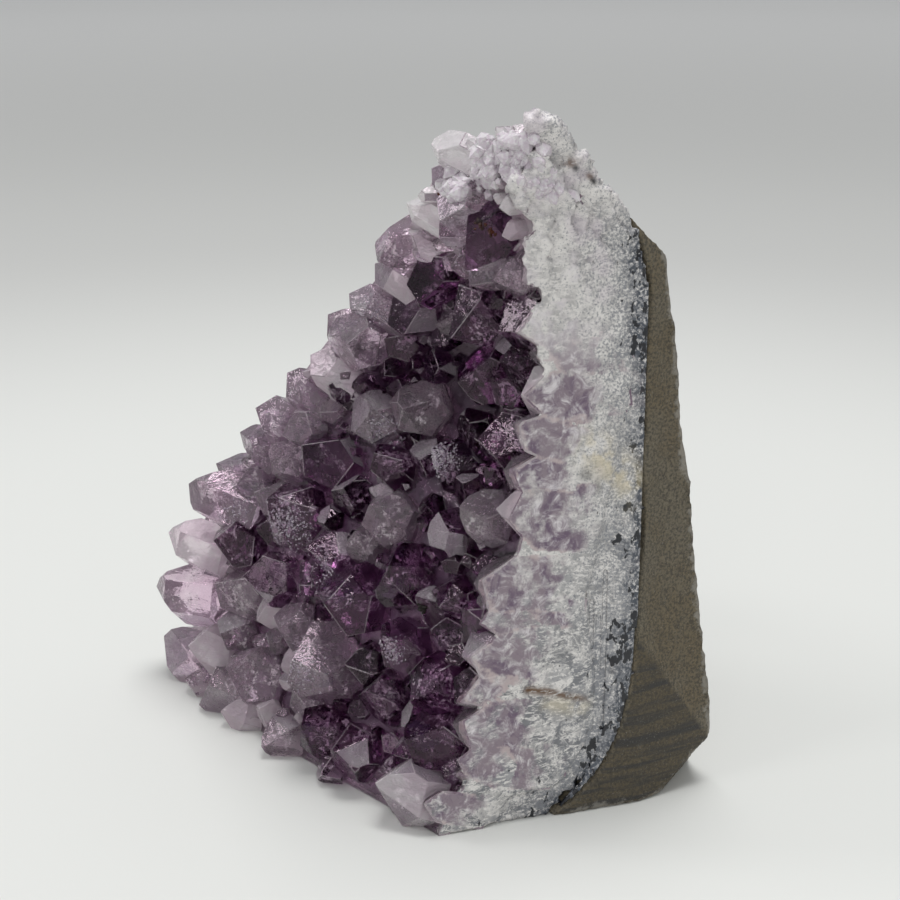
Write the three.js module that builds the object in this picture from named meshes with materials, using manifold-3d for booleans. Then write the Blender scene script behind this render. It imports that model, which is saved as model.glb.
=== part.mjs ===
// Amethyst geode: a freestanding wedge sawn from the wall of a geode, standing on its sawn base.
// Millimetres. +Z is up, the crystals face -Y, the sawn side that shows the layers faces +X.
// Two solids grown one on the other: the basalt of the wall, and the quartz crust with all its crystals.
import * as THREE from "three";
import { mergeVertices } from "three/addons/utils/BufferGeometryUtils.js";
import Module from "manifold-3d";

const wasm = await Module();
wasm.setup();

// ---------------------------------------------------------------- driving dimensions

// The block before it is cut: far larger than the wedge, so that every outer side is a cut.
const BLOCK = { width: 150, height: 150, centreX: -5, centreZ: 60 };
const BLOCK_STEPS = 12;
const CUTTER_SIZE = 400;
const SMALLEST_EDGE = 0.02;

// Crystal-bearing face of the crust: a leaning face with a hollow above, a belly below and a toe at the base.
const FACE = { footY: -13.5, leanPerMm: 0.07 };
const HOLLOW = { x: 14, z: 72, depth: 15, leftHalfWidth: 21, rightHalfWidth: 24, halfHeight: 24 };
const BELLY = { x: -12, z: 22, reach: 4.5, halfWidth: 34, halfHeight: 26 };
const TOE = { reach: 6.5, height: 9 };

// Contact between quartz and basalt: steep in the middle, it comes forward at the foot and at the top.
const CONTACT = { y: 13, perMmToLeft: 0.06, sideX: 44 };
const CONTACT_FOOT = { reach: 14.5, height: 9 };
const CONTACT_TOP = { fromZ: 88, perMm2: 0.017 };
const CONTACT_GAP = 0.3;

// Natural outer surface of the basalt: leaning and slightly domed.
const BACK = { y: 30.3, leanPerMm: 0.155, perMmToLeft: 0.06, sideX: 46 };
const BACK_DOME = { x: -5, halfWidth: 55, rise: 7 };
const THINNEST_BASALT = 2;

// Saw cuts and breaks, each through three points of the plane.
const INSIDE_POINT = [0, 5, 30];
const SAWN_BASE = [[0, 0, 0], [50, 0, 0], [0, 50, 0]];
const SAWN_SIDE = [[31, -22, 0], [45.2, 16.4, 0], [36.8, -6.3, 100]];
const TRIMMED_SIDE = [[44, 13, 50], [44, 13, 90], [46.7, 29.5, 10]];
const LIFTED_CORNER = [[45.2, 16.4, 0], [46.7, 29.8, 9.7], [35, 40, 0]];
const BACK_CORNER = [[-44, 24, 0], [-49, 8, 0], [-40, 20, 40]];
const LEFT_END = [[-50, -10, 0], [-47, -10, 30], [-52, 10, 0]];
const LEFT_FLANK = [[-42, -10, 44], [9, -10, 104], [-44, 5, 44]];
const QUARTZ_ROOF = [[44, 12.3, 100], [38.6, -1.3, 116.5], [0, 3, 96]];
const BASALT_ROOF = [[44, 13.2, 100], [44, 8.7, 104.5], [0, 10, 96]];
const PEAK = [[37, -7, 118.5], [20, -7, 112], [37, 5, 118.5]];

// A crystal is a six-sided prism closed by two three-faced pyramids, one larger than the other.
const PYRAMID_HALF_ANGLE = THREE.MathUtils.degToRad(38.2);
const PYRAMID_HEIGHT = 60;
const SMALLER_PYRAMID_LIFT = [0.15, 0.8];
const PYRAMID_SHIFT = 0.22;
const PRISM_TAPER = 0.9;
const ROOT_LENGTH = 7;

// Crowd of crystals on the face: large ones first, then smaller ones in the room that is left.
const GROWTH_SEED = 31;
const GROWTH = [
  { tries: 700, halfWidth: [4.6, 6.2], spacing: 0.86, rise: [1.0, 1.6] },
  { tries: 900, halfWidth: [3.2, 4.4], spacing: 0.8, rise: [1.0, 1.7] },
  { tries: 900, halfWidth: [2.3, 3.0], spacing: 0.8, rise: [1.1, 1.9] },
];
const LEAN_JITTER = 0.42;
const RIM_FAN = { width: 16, outwards: 0.68, upwards: 0.32 };

// Outline of the crystal-bearing face seen from the front, [x, z], from the left end over the top.
const FACE_OUTLINE = [
  [-51, 1], [-51, 28], [-41, 44], [-15, 74], [8, 101], [24, 113], [34, 117],
  [42, 117], [42, 60], [38, 12], [30, 1],
];
const RIM_POINTS = 7;
const FACE_BOUNDS = { x: [-52, 44], z: [0, 119] };

// The crystals that stand out: tip, direction in which the tip points, half width.
const LARGE_RISE = 1.7;
const LARGE_CRYSTALS = [
  { tip: [20.7, -11.3, 101.6], axis: [-0.05, -0.95, -0.3], halfWidth: 4.6 },
  { tip: [25.6, -10.8, 95.3], axis: [-0.05, -0.85, -0.55], halfWidth: 5.2 },
  { tip: [34.8, -7.1, 93.8], axis: [-0.3, -0.85, -0.4], halfWidth: 4.4 },
  { tip: [8.3, -5.7, 85.8], axis: [0.25, -0.85, -0.5], halfWidth: 4.4 },
  { tip: [16.4, -6.4, 80.5], axis: [-0.05, -0.92, -0.4], halfWidth: 6.4 },
  { tip: [32.6, -9, 85.5], axis: [-0.35, -0.9, -0.15], halfWidth: 5 },
  { tip: [3.6, -5.6, 79.1], axis: [0.45, -0.8, -0.4], halfWidth: 4.4 },
  { tip: [-5.7, -12.3, 76.4], axis: [0.45, -0.9, 0.15], halfWidth: 5.4 },
  { tip: [-1.3, -10.2, 65.5], axis: [0.5, -0.7, 0.5], halfWidth: 4.8 },
  { tip: [5.8, -6.5, 67.2], axis: [0.45, -0.8, 0.35], halfWidth: 5 },
  { tip: [13.3, -6.8, 59.9], axis: [0.05, -0.85, 0.5], halfWidth: 4.4 },
  { tip: [25.2, -7.3, 66.4], axis: [-0.4, -0.9, 0.25], halfWidth: 5 },
  { tip: [34.8, -7, 75.3], axis: [-0.35, -0.95, 0.05], halfWidth: 4.8 },
  { tip: [36.3, -4.1, 82.3], axis: [-0.35, -0.95, 0.1], halfWidth: 4 },
  { tip: [34.6, -9.3, 63.7], axis: [-0.4, -0.9, 0.25], halfWidth: 3.4 },
  { tip: [26.4, -11.6, 55.5], axis: [-0.25, -0.85, 0.45], halfWidth: 4.6 },
  { tip: [33.6, -10.2, 56.5], axis: [-0.35, -0.9, 0.15], halfWidth: 6 },
  { tip: [5.8, -14.5, 50.1], axis: [0.15, -0.8, 0.55], halfWidth: 4.6 },
  { tip: [18.5, -10.3, 51.9], axis: [-0.1, -0.55, 0.85], halfWidth: 4 },
  { tip: [-33.7, -22.6, 33.5], axis: [-0.1, -0.95, 0.15], halfWidth: 5.2 },
  { tip: [-15.6, -21.7, 46.3], axis: [0.05, -0.85, 0.5], halfWidth: 6 },
  { tip: [-22, -23.2, 30.6], axis: [-0.1, -0.95, 0.25], halfWidth: 4.8 },
  { tip: [3.4, -24.5, 33.5], axis: [0.15, -0.95, 0.15], halfWidth: 6.4 },
  { tip: [1.2, -15.5, 44.4], axis: [0.15, -0.75, 0.65], halfWidth: 3.4 },
  { tip: [32.2, -14, 44], axis: [-0.35, -0.9, 0.15], halfWidth: 5.8 },
  { tip: [31.5, -15.9, 32.5], axis: [-0.35, -0.95, 0.1], halfWidth: 5.6 },
  { tip: [31.1, -17.2, 20], axis: [-0.35, -0.9, 0.15], halfWidth: 4.8 },
  { tip: [32.2, -14.3, 11.1], axis: [-0.35, -0.9, 0.1], halfWidth: 4.4 },
  { tip: [-22.9, -26.9, 12.5], axis: [-0.1, -0.95, 0.35], halfWidth: 5.4 },
  { tip: [-1.6, -26.8, 24], axis: [0.05, -0.9, 0.45], halfWidth: 7 },
  { tip: [16.1, -20.8, 29.8], axis: [0.05, -0.95, 0.3], halfWidth: 4.6 },
  { tip: [12.1, -21.8, 19.9], axis: [0.05, -0.9, 0.45], halfWidth: 4.4 },
  { tip: [9.4, -26.9, 9], axis: [0.1, -0.9, 0.35], halfWidth: 4.8 },
  { tip: [22.3, -27, 7.9], axis: [-0.25, -0.9, 0.35], halfWidth: 5.8 },
  { tip: [-45, -20, 42.5], axis: [-0.8, -0.5, 0.3], halfWidth: 5.2 },
  { tip: [-53.5, -20, 30], axis: [-0.9, -0.4, 0.2], halfWidth: 4.6 },
  { tip: [-57.6, -21, 16.6], axis: [-0.9, -0.4, -0.05], halfWidth: 5.6 },
  { tip: [-39.4, -25.5, 10.9], axis: [-0.1, -0.95, 0.25], halfWidth: 5 },
  { tip: [2, -9.2, 91.7], axis: [0.25, -0.95, -0.2], halfWidth: 4.2 },
];

// Unevenness of the rows below: along the row in mm, and of the lean as a share.
const ROW_JITTER = [-1, 1];
const ROW_LEAN = [0.7, 1.2];
// Crystals in a row along the slanted rim, leaning out over it, and along the peak, standing up on it.
const EDGE_ROWS = [
  { count: 12, from: [-39, 45], to: [20, 112], lean: [-1.3, 0.9], halfWidth: [3.4, 4.8], rise: [1.0, 1.5] },
  { count: 5, from: [23, 112], to: [37, 117], lean: [-0.3, 1.2], halfWidth: [2.2, 3], rise: [1.0, 1.3] },
];

// ---------------------------------------------------------------- surfaces

const square = (value) => value * value;
const bell = (offset, halfWidth) => Math.exp(-square(offset / halfWidth));

// Depth of the crystal-bearing face at a place seen from the front.
function faceY(x, z) {
  const hollowHalfWidth = x < HOLLOW.x ? HOLLOW.leftHalfWidth : HOLLOW.rightHalfWidth;
  const hollow = HOLLOW.depth * bell(x - HOLLOW.x, hollowHalfWidth) * bell(z - HOLLOW.z, HOLLOW.halfHeight);
  const belly = BELLY.reach * bell(x - BELLY.x, BELLY.halfWidth) * bell(z - BELLY.z, BELLY.halfHeight);
  const toe = TOE.reach * bell(z, TOE.height);
  return FACE.footY + FACE.leanPerMm * z + hollow - belly - toe;
}

// Depth of the contact between the quartz and the basalt.
function contactY(x, z) {
  const foot = CONTACT_FOOT.reach * Math.exp(-Math.max(z, 0) / CONTACT_FOOT.height);
  const top = CONTACT_TOP.perMm2 * square(Math.max(z - CONTACT_TOP.fromZ, 0));
  return CONTACT.y - CONTACT.perMmToLeft * (CONTACT.sideX - x) - foot - top;
}

// Depth of the natural outer surface of the basalt.
function backY(x, z) {
  const dome = BACK_DOME.rise * (1 - square((x - BACK_DOME.x) / BACK_DOME.halfWidth));
  return BACK.y - BACK.leanPerMm * z - BACK.perMmToLeft * (BACK.sideX - x) + dome;
}

// Direction in which a crystal would grow from the face if nothing disturbed it.
function faceNormal(x, z) {
  const step = 0.5;
  const slopeX = (faceY(x + step, z) - faceY(x - step, z)) / (2 * step);
  const slopeZ = (faceY(x, z + step) - faceY(x, z - step)) / (2 * step);
  return new THREE.Vector3(slopeX, -1, slopeZ).normalize();
}

// ---------------------------------------------------------------- solids

// A closed solid from a closed three.js geometry.
function solidOf(geometry, mergeWithin = 1e-4) {
  const bare = geometry.clone();
  bare.deleteAttribute("normal");
  bare.deleteAttribute("uv");
  const merged = mergeVertices(bare, mergeWithin);
  return new wasm.Manifold(new wasm.Mesh({
    numProp: 3,
    vertProperties: merged.getAttribute("position").array,
    triVerts: new Uint32Array(merged.index.array),
  }));
}

// The geometry of a solid, ready for a mesh.
function geometryOf(solid) {
  const mesh = solid.getMesh();
  const geometry = new THREE.BufferGeometry();
  geometry.setAttribute("position", new THREE.BufferAttribute(mesh.vertProperties, 3));
  geometry.setIndex(new THREE.BufferAttribute(mesh.triVerts, 1));
  geometry.computeVertexNormals();
  return geometry;
}

// Everything on the far side of a plane through three points, seen from the inside of the wedge.
function wasteBeyond(points) {
  const plane = new THREE.Plane().setFromCoplanarPoints(...points.map((p) => new THREE.Vector3(...p)));
  if (plane.distanceToPoint(new THREE.Vector3(...INSIDE_POINT)) > 0) plane.negate();
  const box = new THREE.BoxGeometry(CUTTER_SIZE, CUTTER_SIZE, CUTTER_SIZE);
  const turn = new THREE.Quaternion().setFromUnitVectors(new THREE.Vector3(0, 0, 1), plane.normal);
  const centre = new THREE.Vector3(...points[0]).addScaledVector(plane.normal, CUTTER_SIZE / 2);
  box.applyQuaternion(turn);
  box.translate(centre.x, centre.y, centre.z);
  return solidOf(box);
}

function cutAway(solid, cuts) {
  return cuts.reduce((left, points) => left.subtract(wasteBeyond(points)), solid);
}

// A slab of the wall between two curved surfaces, frontY(x, z) and rearY(x, z).
function slab(frontY, rearY) {
  const box = new THREE.BoxGeometry(BLOCK.width, 1, BLOCK.height, BLOCK_STEPS, 1, BLOCK_STEPS);
  box.translate(BLOCK.centreX, 0, BLOCK.centreZ);
  const place = box.getAttribute("position");
  for (let i = 0; i < place.count; i += 1) {
    const surface = place.getY(i) < 0 ? frontY : rearY;
    place.setY(i, surface(place.getX(i), place.getZ(i)));
  }
  return solidOf(box);
}

// ---------------------------------------------------------------- crystals

// Park and Miller's generator: the same crystals grow every time.
function growthDice(seed) {
  const modulus = 2147483647;
  const factor = 16807;
  let state = seed;
  return (low, high) => {
    state = (state * factor) % modulus;
    return low + (high - low) * (state / modulus);
  };
}

// A three-faced pyramid with its apex at the origin, opening downwards.
function threeFacedPyramid(turn) {
  const inscribed = PYRAMID_HEIGHT * Math.tan(PYRAMID_HALF_ANGLE);
  const cone = new THREE.ConeGeometry(2 * inscribed, PYRAMID_HEIGHT, 3);
  cone.translate(0, -PYRAMID_HEIGHT / 2, 0);
  cone.rotateY(turn);
  return cone;
}

// One crystal, standing on its axis with its tip at the place given.
function crystalSolid({ tip, axis, halfWidth, rise, dice }) {
  const length = rise + ROOT_LENGTH;
  const across = halfWidth / Math.cos(Math.PI / 6);
  const prism = new THREE.CylinderGeometry(across * PRISM_TAPER, across, length, 6);
  prism.translate(0, -length / 2, 0);
  prism.rotateY(Math.PI / 6);
  const larger = threeFacedPyramid(0);
  const smaller = threeFacedPyramid(Math.PI / 3);
  const shift = PYRAMID_SHIFT * halfWidth;
  larger.translate(dice(-shift, shift), 0, dice(-shift, shift));
  const lift = halfWidth * dice(...SMALLER_PYRAMID_LIFT);
  smaller.translate(dice(-shift, shift), lift, dice(-shift, shift));
  const roll = dice(0, 2 * Math.PI);
  const turn = new THREE.Quaternion().setFromUnitVectors(new THREE.Vector3(0, 1, 0), axis);
  const parts = [prism, larger, smaller].map((geometry) => {
    geometry.rotateY(roll);
    geometry.applyQuaternion(turn);
    geometry.translate(tip.x, tip.y, tip.z);
    return solidOf(geometry);
  });
  return parts[0].intersect(parts[1]).intersect(parts[2]);
}

// True where a place seen from the front lies inside the outline of the face.
function insideOutline(x, z) {
  let inside = false;
  FACE_OUTLINE.forEach(([x1, z1], i) => {
    const [x2, z2] = FACE_OUTLINE[(i + 1) % FACE_OUTLINE.length];
    if (z1 > z !== z2 > z && x < x1 + ((z - z1) / (z2 - z1)) * (x2 - x1)) inside = !inside;
  });
  return inside;
}

// How far a place lies from the left and upper edge of the outline.
function distanceToRim(x, z) {
  const rim = FACE_OUTLINE.slice(0, RIM_POINTS);
  const place = new THREE.Vector3(x, 0, z);
  const nearest = new THREE.Vector3();
  const distances = rim.slice(1).map(([x2, z2], i) => {
    const [x1, z1] = rim[i];
    const edge = new THREE.Line3(new THREE.Vector3(x1, 0, z1), new THREE.Vector3(x2, 0, z2));
    return edge.closestPointToPoint(place, true, nearest).distanceTo(place);
  });
  return Math.min(...distances);
}

// The crystals fan out over the left and upper rim of the wedge.
function growthDirection(x, z, dice) {
  const direction = faceNormal(x, z);
  const nearRim = Math.max(0, 1 - distanceToRim(x, z) / RIM_FAN.width);
  direction.x += dice(-LEAN_JITTER, LEAN_JITTER) - RIM_FAN.outwards * nearRim;
  direction.z += dice(-LEAN_JITTER, LEAN_JITTER) + RIM_FAN.upwards * nearRim;
  return direction.normalize();
}

// A crystal that stands on the face at a place seen from the front.
function crystalOnFace(x, z, axis, halfWidth, rise) {
  const foot = new THREE.Vector3(x, faceY(x, z), z);
  return { tip: foot.clone().addScaledVector(axis, rise), axis, halfWidth, rise, foot };
}

// A row of crystals along an edge of the face, evenly spaced and leaning out over it.
function edgeCrystals({ count, from, to, lean, halfWidth, rise }, dice) {
  return Array.from({ length: count }, (_, i) => {
    const share = i / (count - 1);
    const x = THREE.MathUtils.lerp(from[0], to[0], share) + dice(...ROW_JITTER);
    const z = THREE.MathUtils.lerp(from[1], to[1], share) + dice(...ROW_JITTER);
    const width = dice(...halfWidth);
    const outwards = dice(...ROW_LEAN);
    const axis = new THREE.Vector3(lean[0] * outwards, -1, lean[1] * outwards).normalize();
    return crystalOnFace(x, z, axis, width, width * dice(...rise));
  });
}

// The list of all crystals: the large ones by hand, the rest by the rule of growth.
function growCrystals() {
  const dice = growthDice(GROWTH_SEED);
  const crystals = LARGE_CRYSTALS.map(({ tip, axis, halfWidth }) => {
    const direction = new THREE.Vector3(...axis).normalize();
    const point = new THREE.Vector3(...tip);
    const rise = halfWidth * LARGE_RISE;
    const foot = point.clone().addScaledVector(direction, -rise);
    return { tip: point, axis: direction, halfWidth, rise, foot };
  });
  EDGE_ROWS.forEach((row) => crystals.push(...edgeCrystals(row, dice)));
  GROWTH.forEach(({ tries, halfWidth: [thin, thick], spacing, rise: [low, high] }) => {
    for (let i = 0; i < tries; i += 1) {
      const x = dice(...FACE_BOUNDS.x);
      const z = dice(...FACE_BOUNDS.z);
      const halfWidth = dice(thin, thick);
      const rise = halfWidth * dice(low, high);
      if (!insideOutline(x, z)) continue;
      const crystal = crystalOnFace(x, z, growthDirection(x, z, dice), halfWidth, rise);
      const crowded = crystals.some((other) => (
        other.foot.distanceTo(crystal.foot) < spacing * (other.halfWidth + halfWidth)
      ));
      if (!crowded) crystals.push(crystal);
    }
  });
  return crystals.map((crystal) => ({ ...crystal, dice }));
}

// ---------------------------------------------------------------- the two pieces

// A union of many solids, two by two, so that no step grows large early.
function joined(solids) {
  let row = solids;
  while (row.length > 1) {
    const next = [];
    for (let i = 0; i < row.length; i += 2) next.push(i + 1 < row.length ? row[i].add(row[i + 1]) : row[i]);
    row = next;
  }
  return row[0];
}

// The one body that holds nearly all of the solid: closed pores and loose splinters are left out.
function mainBody(solid) {
  return solid.decompose().reduce((best, body) => (body.volume() > best.volume() ? body : best));
}

// The main body once corners closer than the smallest edge are merged, which can part thin splinters.
function cleanBody(solid) {
  return mainBody(solidOf(geometryOf(mainBody(solid)), SMALLEST_EDGE));
}

function quartzWithCrystals() {
  const crust = cutAway(slab(faceY, contactY), [LEFT_END, LEFT_FLANK, BACK_CORNER, QUARTZ_ROOF, PEAK]);
  const crystals = growCrystals().map(crystalSolid);
  const behindContact = slab(contactY, () => BLOCK.width);
  const grown = joined([crust, ...crystals]).subtract(behindContact);
  return cleanBody(cutAway(grown, [SAWN_BASE, SAWN_SIDE, TRIMMED_SIDE]));
}

function basaltWall() {
  const rearY = (x, z) => Math.max(backY(x, z), contactY(x, z) + THINNEST_BASALT);
  const wall = slab((x, z) => contactY(x, z) + CONTACT_GAP, rearY);
  const sawCuts = [SAWN_BASE, SAWN_SIDE, TRIMMED_SIDE, LIFTED_CORNER];
  const breaks = [BACK_CORNER, LEFT_END, LEFT_FLANK, BASALT_ROOF];
  return cleanBody(cutAway(wall, [...sawCuts, ...breaks]));
}

const quartz = geometryOf(quartzWithCrystals());
const basalt = geometryOf(basaltWall());

// The origin is the middle of the footprint of the whole piece, on the surface that it stands on.
quartz.computeBoundingBox();
basalt.computeBoundingBox();
const whole = quartz.boundingBox.clone().union(basalt.boundingBox);
const middle = whole.getCenter(new THREE.Vector3());
[quartz, basalt].forEach((geometry) => geometry.translate(-middle.x, -middle.y, -whole.min.z));

const amethyst = new THREE.MeshStandardMaterial({ color: 0x6d5470, roughness: 0.12, metalness: 0 });
const rock = new THREE.MeshStandardMaterial({ color: 0x5d564a, roughness: 0.85, metalness: 0 });

const crystalCrust = new THREE.Mesh(quartz, amethyst);
crystalCrust.name = "amethyst_crust";
const basaltMatrix = new THREE.Mesh(basalt, rock);
basaltMatrix.name = "basalt_matrix";

const geode = new THREE.Group();
geode.add(crystalCrust, basaltMatrix);
export default geode;
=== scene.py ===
"""Amethyst geode: a freestanding wedge of crystals on quartz and basalt, standing on its sawn base.

The crystals, the quartz crust and the basalt wall grow from one set of surfaces in millimetres and
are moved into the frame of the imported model, in metres, when they are finished.
"""
import logging
import math
import time
from collections.abc import Callable
from dataclasses import dataclass, field
from enum import Enum

import bmesh
import bpy
import numpy as np
from mathutils import Matrix, Vector, noise
from mathutils.bvhtree import BVHTree


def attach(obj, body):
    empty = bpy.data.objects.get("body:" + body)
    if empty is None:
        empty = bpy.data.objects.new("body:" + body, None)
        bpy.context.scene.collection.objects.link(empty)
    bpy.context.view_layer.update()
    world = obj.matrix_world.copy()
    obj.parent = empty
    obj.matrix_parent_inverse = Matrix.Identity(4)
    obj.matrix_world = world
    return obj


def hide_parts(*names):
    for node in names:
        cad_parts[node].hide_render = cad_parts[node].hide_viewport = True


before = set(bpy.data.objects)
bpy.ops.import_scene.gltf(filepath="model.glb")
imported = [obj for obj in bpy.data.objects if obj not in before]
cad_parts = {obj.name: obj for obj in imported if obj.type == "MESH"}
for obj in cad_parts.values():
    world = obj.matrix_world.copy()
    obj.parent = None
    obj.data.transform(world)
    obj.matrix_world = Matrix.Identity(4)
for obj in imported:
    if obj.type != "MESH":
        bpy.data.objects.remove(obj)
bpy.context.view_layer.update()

LOG = logging.getLogger("geode")
BODY = "root"

# Sizes and places are in millimetres until a piece is delivered, with x to the right, y to the rear and z up.
MM = 0.001
FOOT_RIM = 0.8
FAR_BEHIND = 150.0
CELL_SPREAD = 9.1
SIXTHS = tuple(math.radians(60 * k) for k in range(6))

Triple = tuple[float, float, float]
Pair = tuple[float, float]
Surface = Callable[[float, float], float]
Relief = Callable[[Vector, Vector], float]
Socket = bpy.types.NodeSocket
Value = bpy.types.NodeSocket | float | tuple


# ---------------------------------------------------------------- small helpers


def mix(low: float, high: float, share: float) -> float:
    """A value between low and high."""
    return low + (high - low) * share


def bell(offset: float, half_width: float) -> float:
    """A bell curve that is 1 at no offset."""
    return math.exp(-((offset / half_width) ** 2))


def clamp(value: float) -> float:
    """The value kept between 0 and 1."""
    return max(0.0, min(1.0, value))


def unit(v: Triple) -> Triple:
    """The direction of v at full precision."""
    length = math.sqrt(v[0] * v[0] + v[1] * v[1] + v[2] * v[2]) or 1.0
    return (v[0] / length, v[1] / length, v[2] / length)


def distance(a: Triple, b: Triple) -> float:
    """The distance between two points at full precision."""
    return math.sqrt((a[0] - b[0]) ** 2 + (a[1] - b[1]) ** 2 + (a[2] - b[2]) ** 2)


class Dice:
    """Park and Miller's generator: the same stone grows every time."""

    MODULUS = 2147483647
    FACTOR = 16807

    def __init__(self, seed: int) -> None:
        """Starts the generator.

        Args:
            seed: the first state.
        """
        self.state = seed

    def draw(self, low: float, high: float) -> float:
        """The next value between low and high."""
        self.state = (self.state * self.FACTOR) % self.MODULUS
        return low + (high - low) * (self.state / self.MODULUS)


@dataclass(frozen=True)
class Cut:
    """A saw cut or break through three points, with the stone kept on the inner side."""

    points: tuple[Triple, Triple, Triple]
    inside: Triple = (0.0, 5.0, 30.0)

    def plane(self) -> tuple[Vector, Vector]:
        """A point of the plane and its direction away from the stone.

        Returns:
            The first point and the outward unit normal.
        """
        a, b, c = (Vector(p) for p in self.points)
        normal = (b - a).cross(c - a).normalized()
        if normal.dot(Vector(self.inside) - a) > 0:
            normal.negate()
        return a, normal


SAWN_BASE = Cut(((0, 0, 0), (50, 0, 0), (0, 50, 0)))
SAWN_SIDE = Cut(((31, -22, 0), (45.2, 16.4, 0), (36.8, -6.3, 100)))
TRIMMED_SIDE = Cut(((44, 13, 50), (44, 13, 90), (46.7, 29.5, 10)))
LIFTED_CORNER = Cut(((45.2, 16.4, 0), (46.7, 29.8, 9.7), (35, 40, 0)))
BACK_CORNER = Cut(((-44, 24, 0), (-49, 8, 0), (-40, 20, 40)))
LEFT_END = Cut(((-50, -10, 0), (-47, -10, 30), (-52, 10, 0)))
LEFT_FLANK = Cut(((-42, -10, 44), (9, -10, 104), (-44, 5, 44)))
QUARTZ_ROOF = Cut(((44, 12.3, 100), (38.6, -1.3, 116.5), (0, 3, 96)))
BASALT_ROOF = Cut(((44, 13.2, 100), (44, 8.7, 104.5), (0, 10, 96)))
PEAK = Cut(((37, -7, 118.5), (20, -7, 112), (37, 5, 118.5)))
SAW_CUTS = (SAWN_BASE, SAWN_SIDE, TRIMMED_SIDE)
NATURAL_CUTS = (LEFT_END, LEFT_FLANK, BACK_CORNER, QUARTZ_ROOF, PEAK)
SLICE = 1.1
SAWN_WAYS = tuple(cut.plane()[1] for cut in (SAWN_SIDE, TRIMMED_SIDE))
SAWN_FACING = 0.9


@dataclass(frozen=True)
class Stain:
    """A stain along a line on the stone: its ends, its half width in mm and how strong it is."""

    start: Triple
    end: Triple
    half_width: float
    share: float = 1.0

    def strength(self, place: Vector) -> float:
        """How strongly a place is stained, from 0 to 1.

        Args:
            place: a place on the stone.

        Returns:
            The strength.
        """
        start, way = Vector(self.start), Vector(self.end) - Vector(self.start)
        along = clamp((place - start).dot(way) / max(way.length_squared, 1e-6))
        return self.share * bell((place - start - way * along).length, self.half_width)


STAINS = {
    "rust": (
        Stain((37.0, -5.8, 24.6), (38.5, -1.7, 23.6), 0.75),
        Stain((38.7, -1.2, 23.2), (40.9, 4.8, 21.0), 0.55, 0.9),
        Stain((38.6, -0.9, 112.4), (38.9, -0.5, 112.2), 0.8, 0.8),
        Stain((40.0, 2.4, 110.1), (40.1, 2.7, 109.7), 0.5, 0.8),
    ),
    "cream": (
        Stain((40.8, 4.6, 65.5), (43.5, 11.0, 58.5), 3.0),
        Stain((38.5, -2, 21.5), (41, 4, 19.5), 1.6, 0.7),
    ),
    "dark_spot": (
        Stain((39.1, 0.0, 111.6), (39.2, 0.2, 111.4), 0.45),
        Stain((40.2, 2.9, 109.5), (40.3, 3.1, 109.1), 0.4),
        Stain((40.2, 3.0, 61.4), (40.3, 3.2, 61.2), 1.1, 0.45),
        Stain((41.0, 5.0, 59.4), (41.1, 5.2, 59.2), 0.9, 0.4),
        Stain((39.6, 1.6, 7.6), (40.1, 3.0, 7.2), 0.6),
        Stain((41.8, 7.0, 26.5), (42.3, 8.2, 25.6), 0.6, 0.9),
        Stain((42.0, 7.4, 33.0), (42.1, 7.6, 30.8), 0.5, 0.8),
    ),
}


HEIGHT_BANDS = {"low": (62.0, -34.0), "pale_top": (78.0, 18.0), "roof": (100.0, 5.0)}


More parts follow.
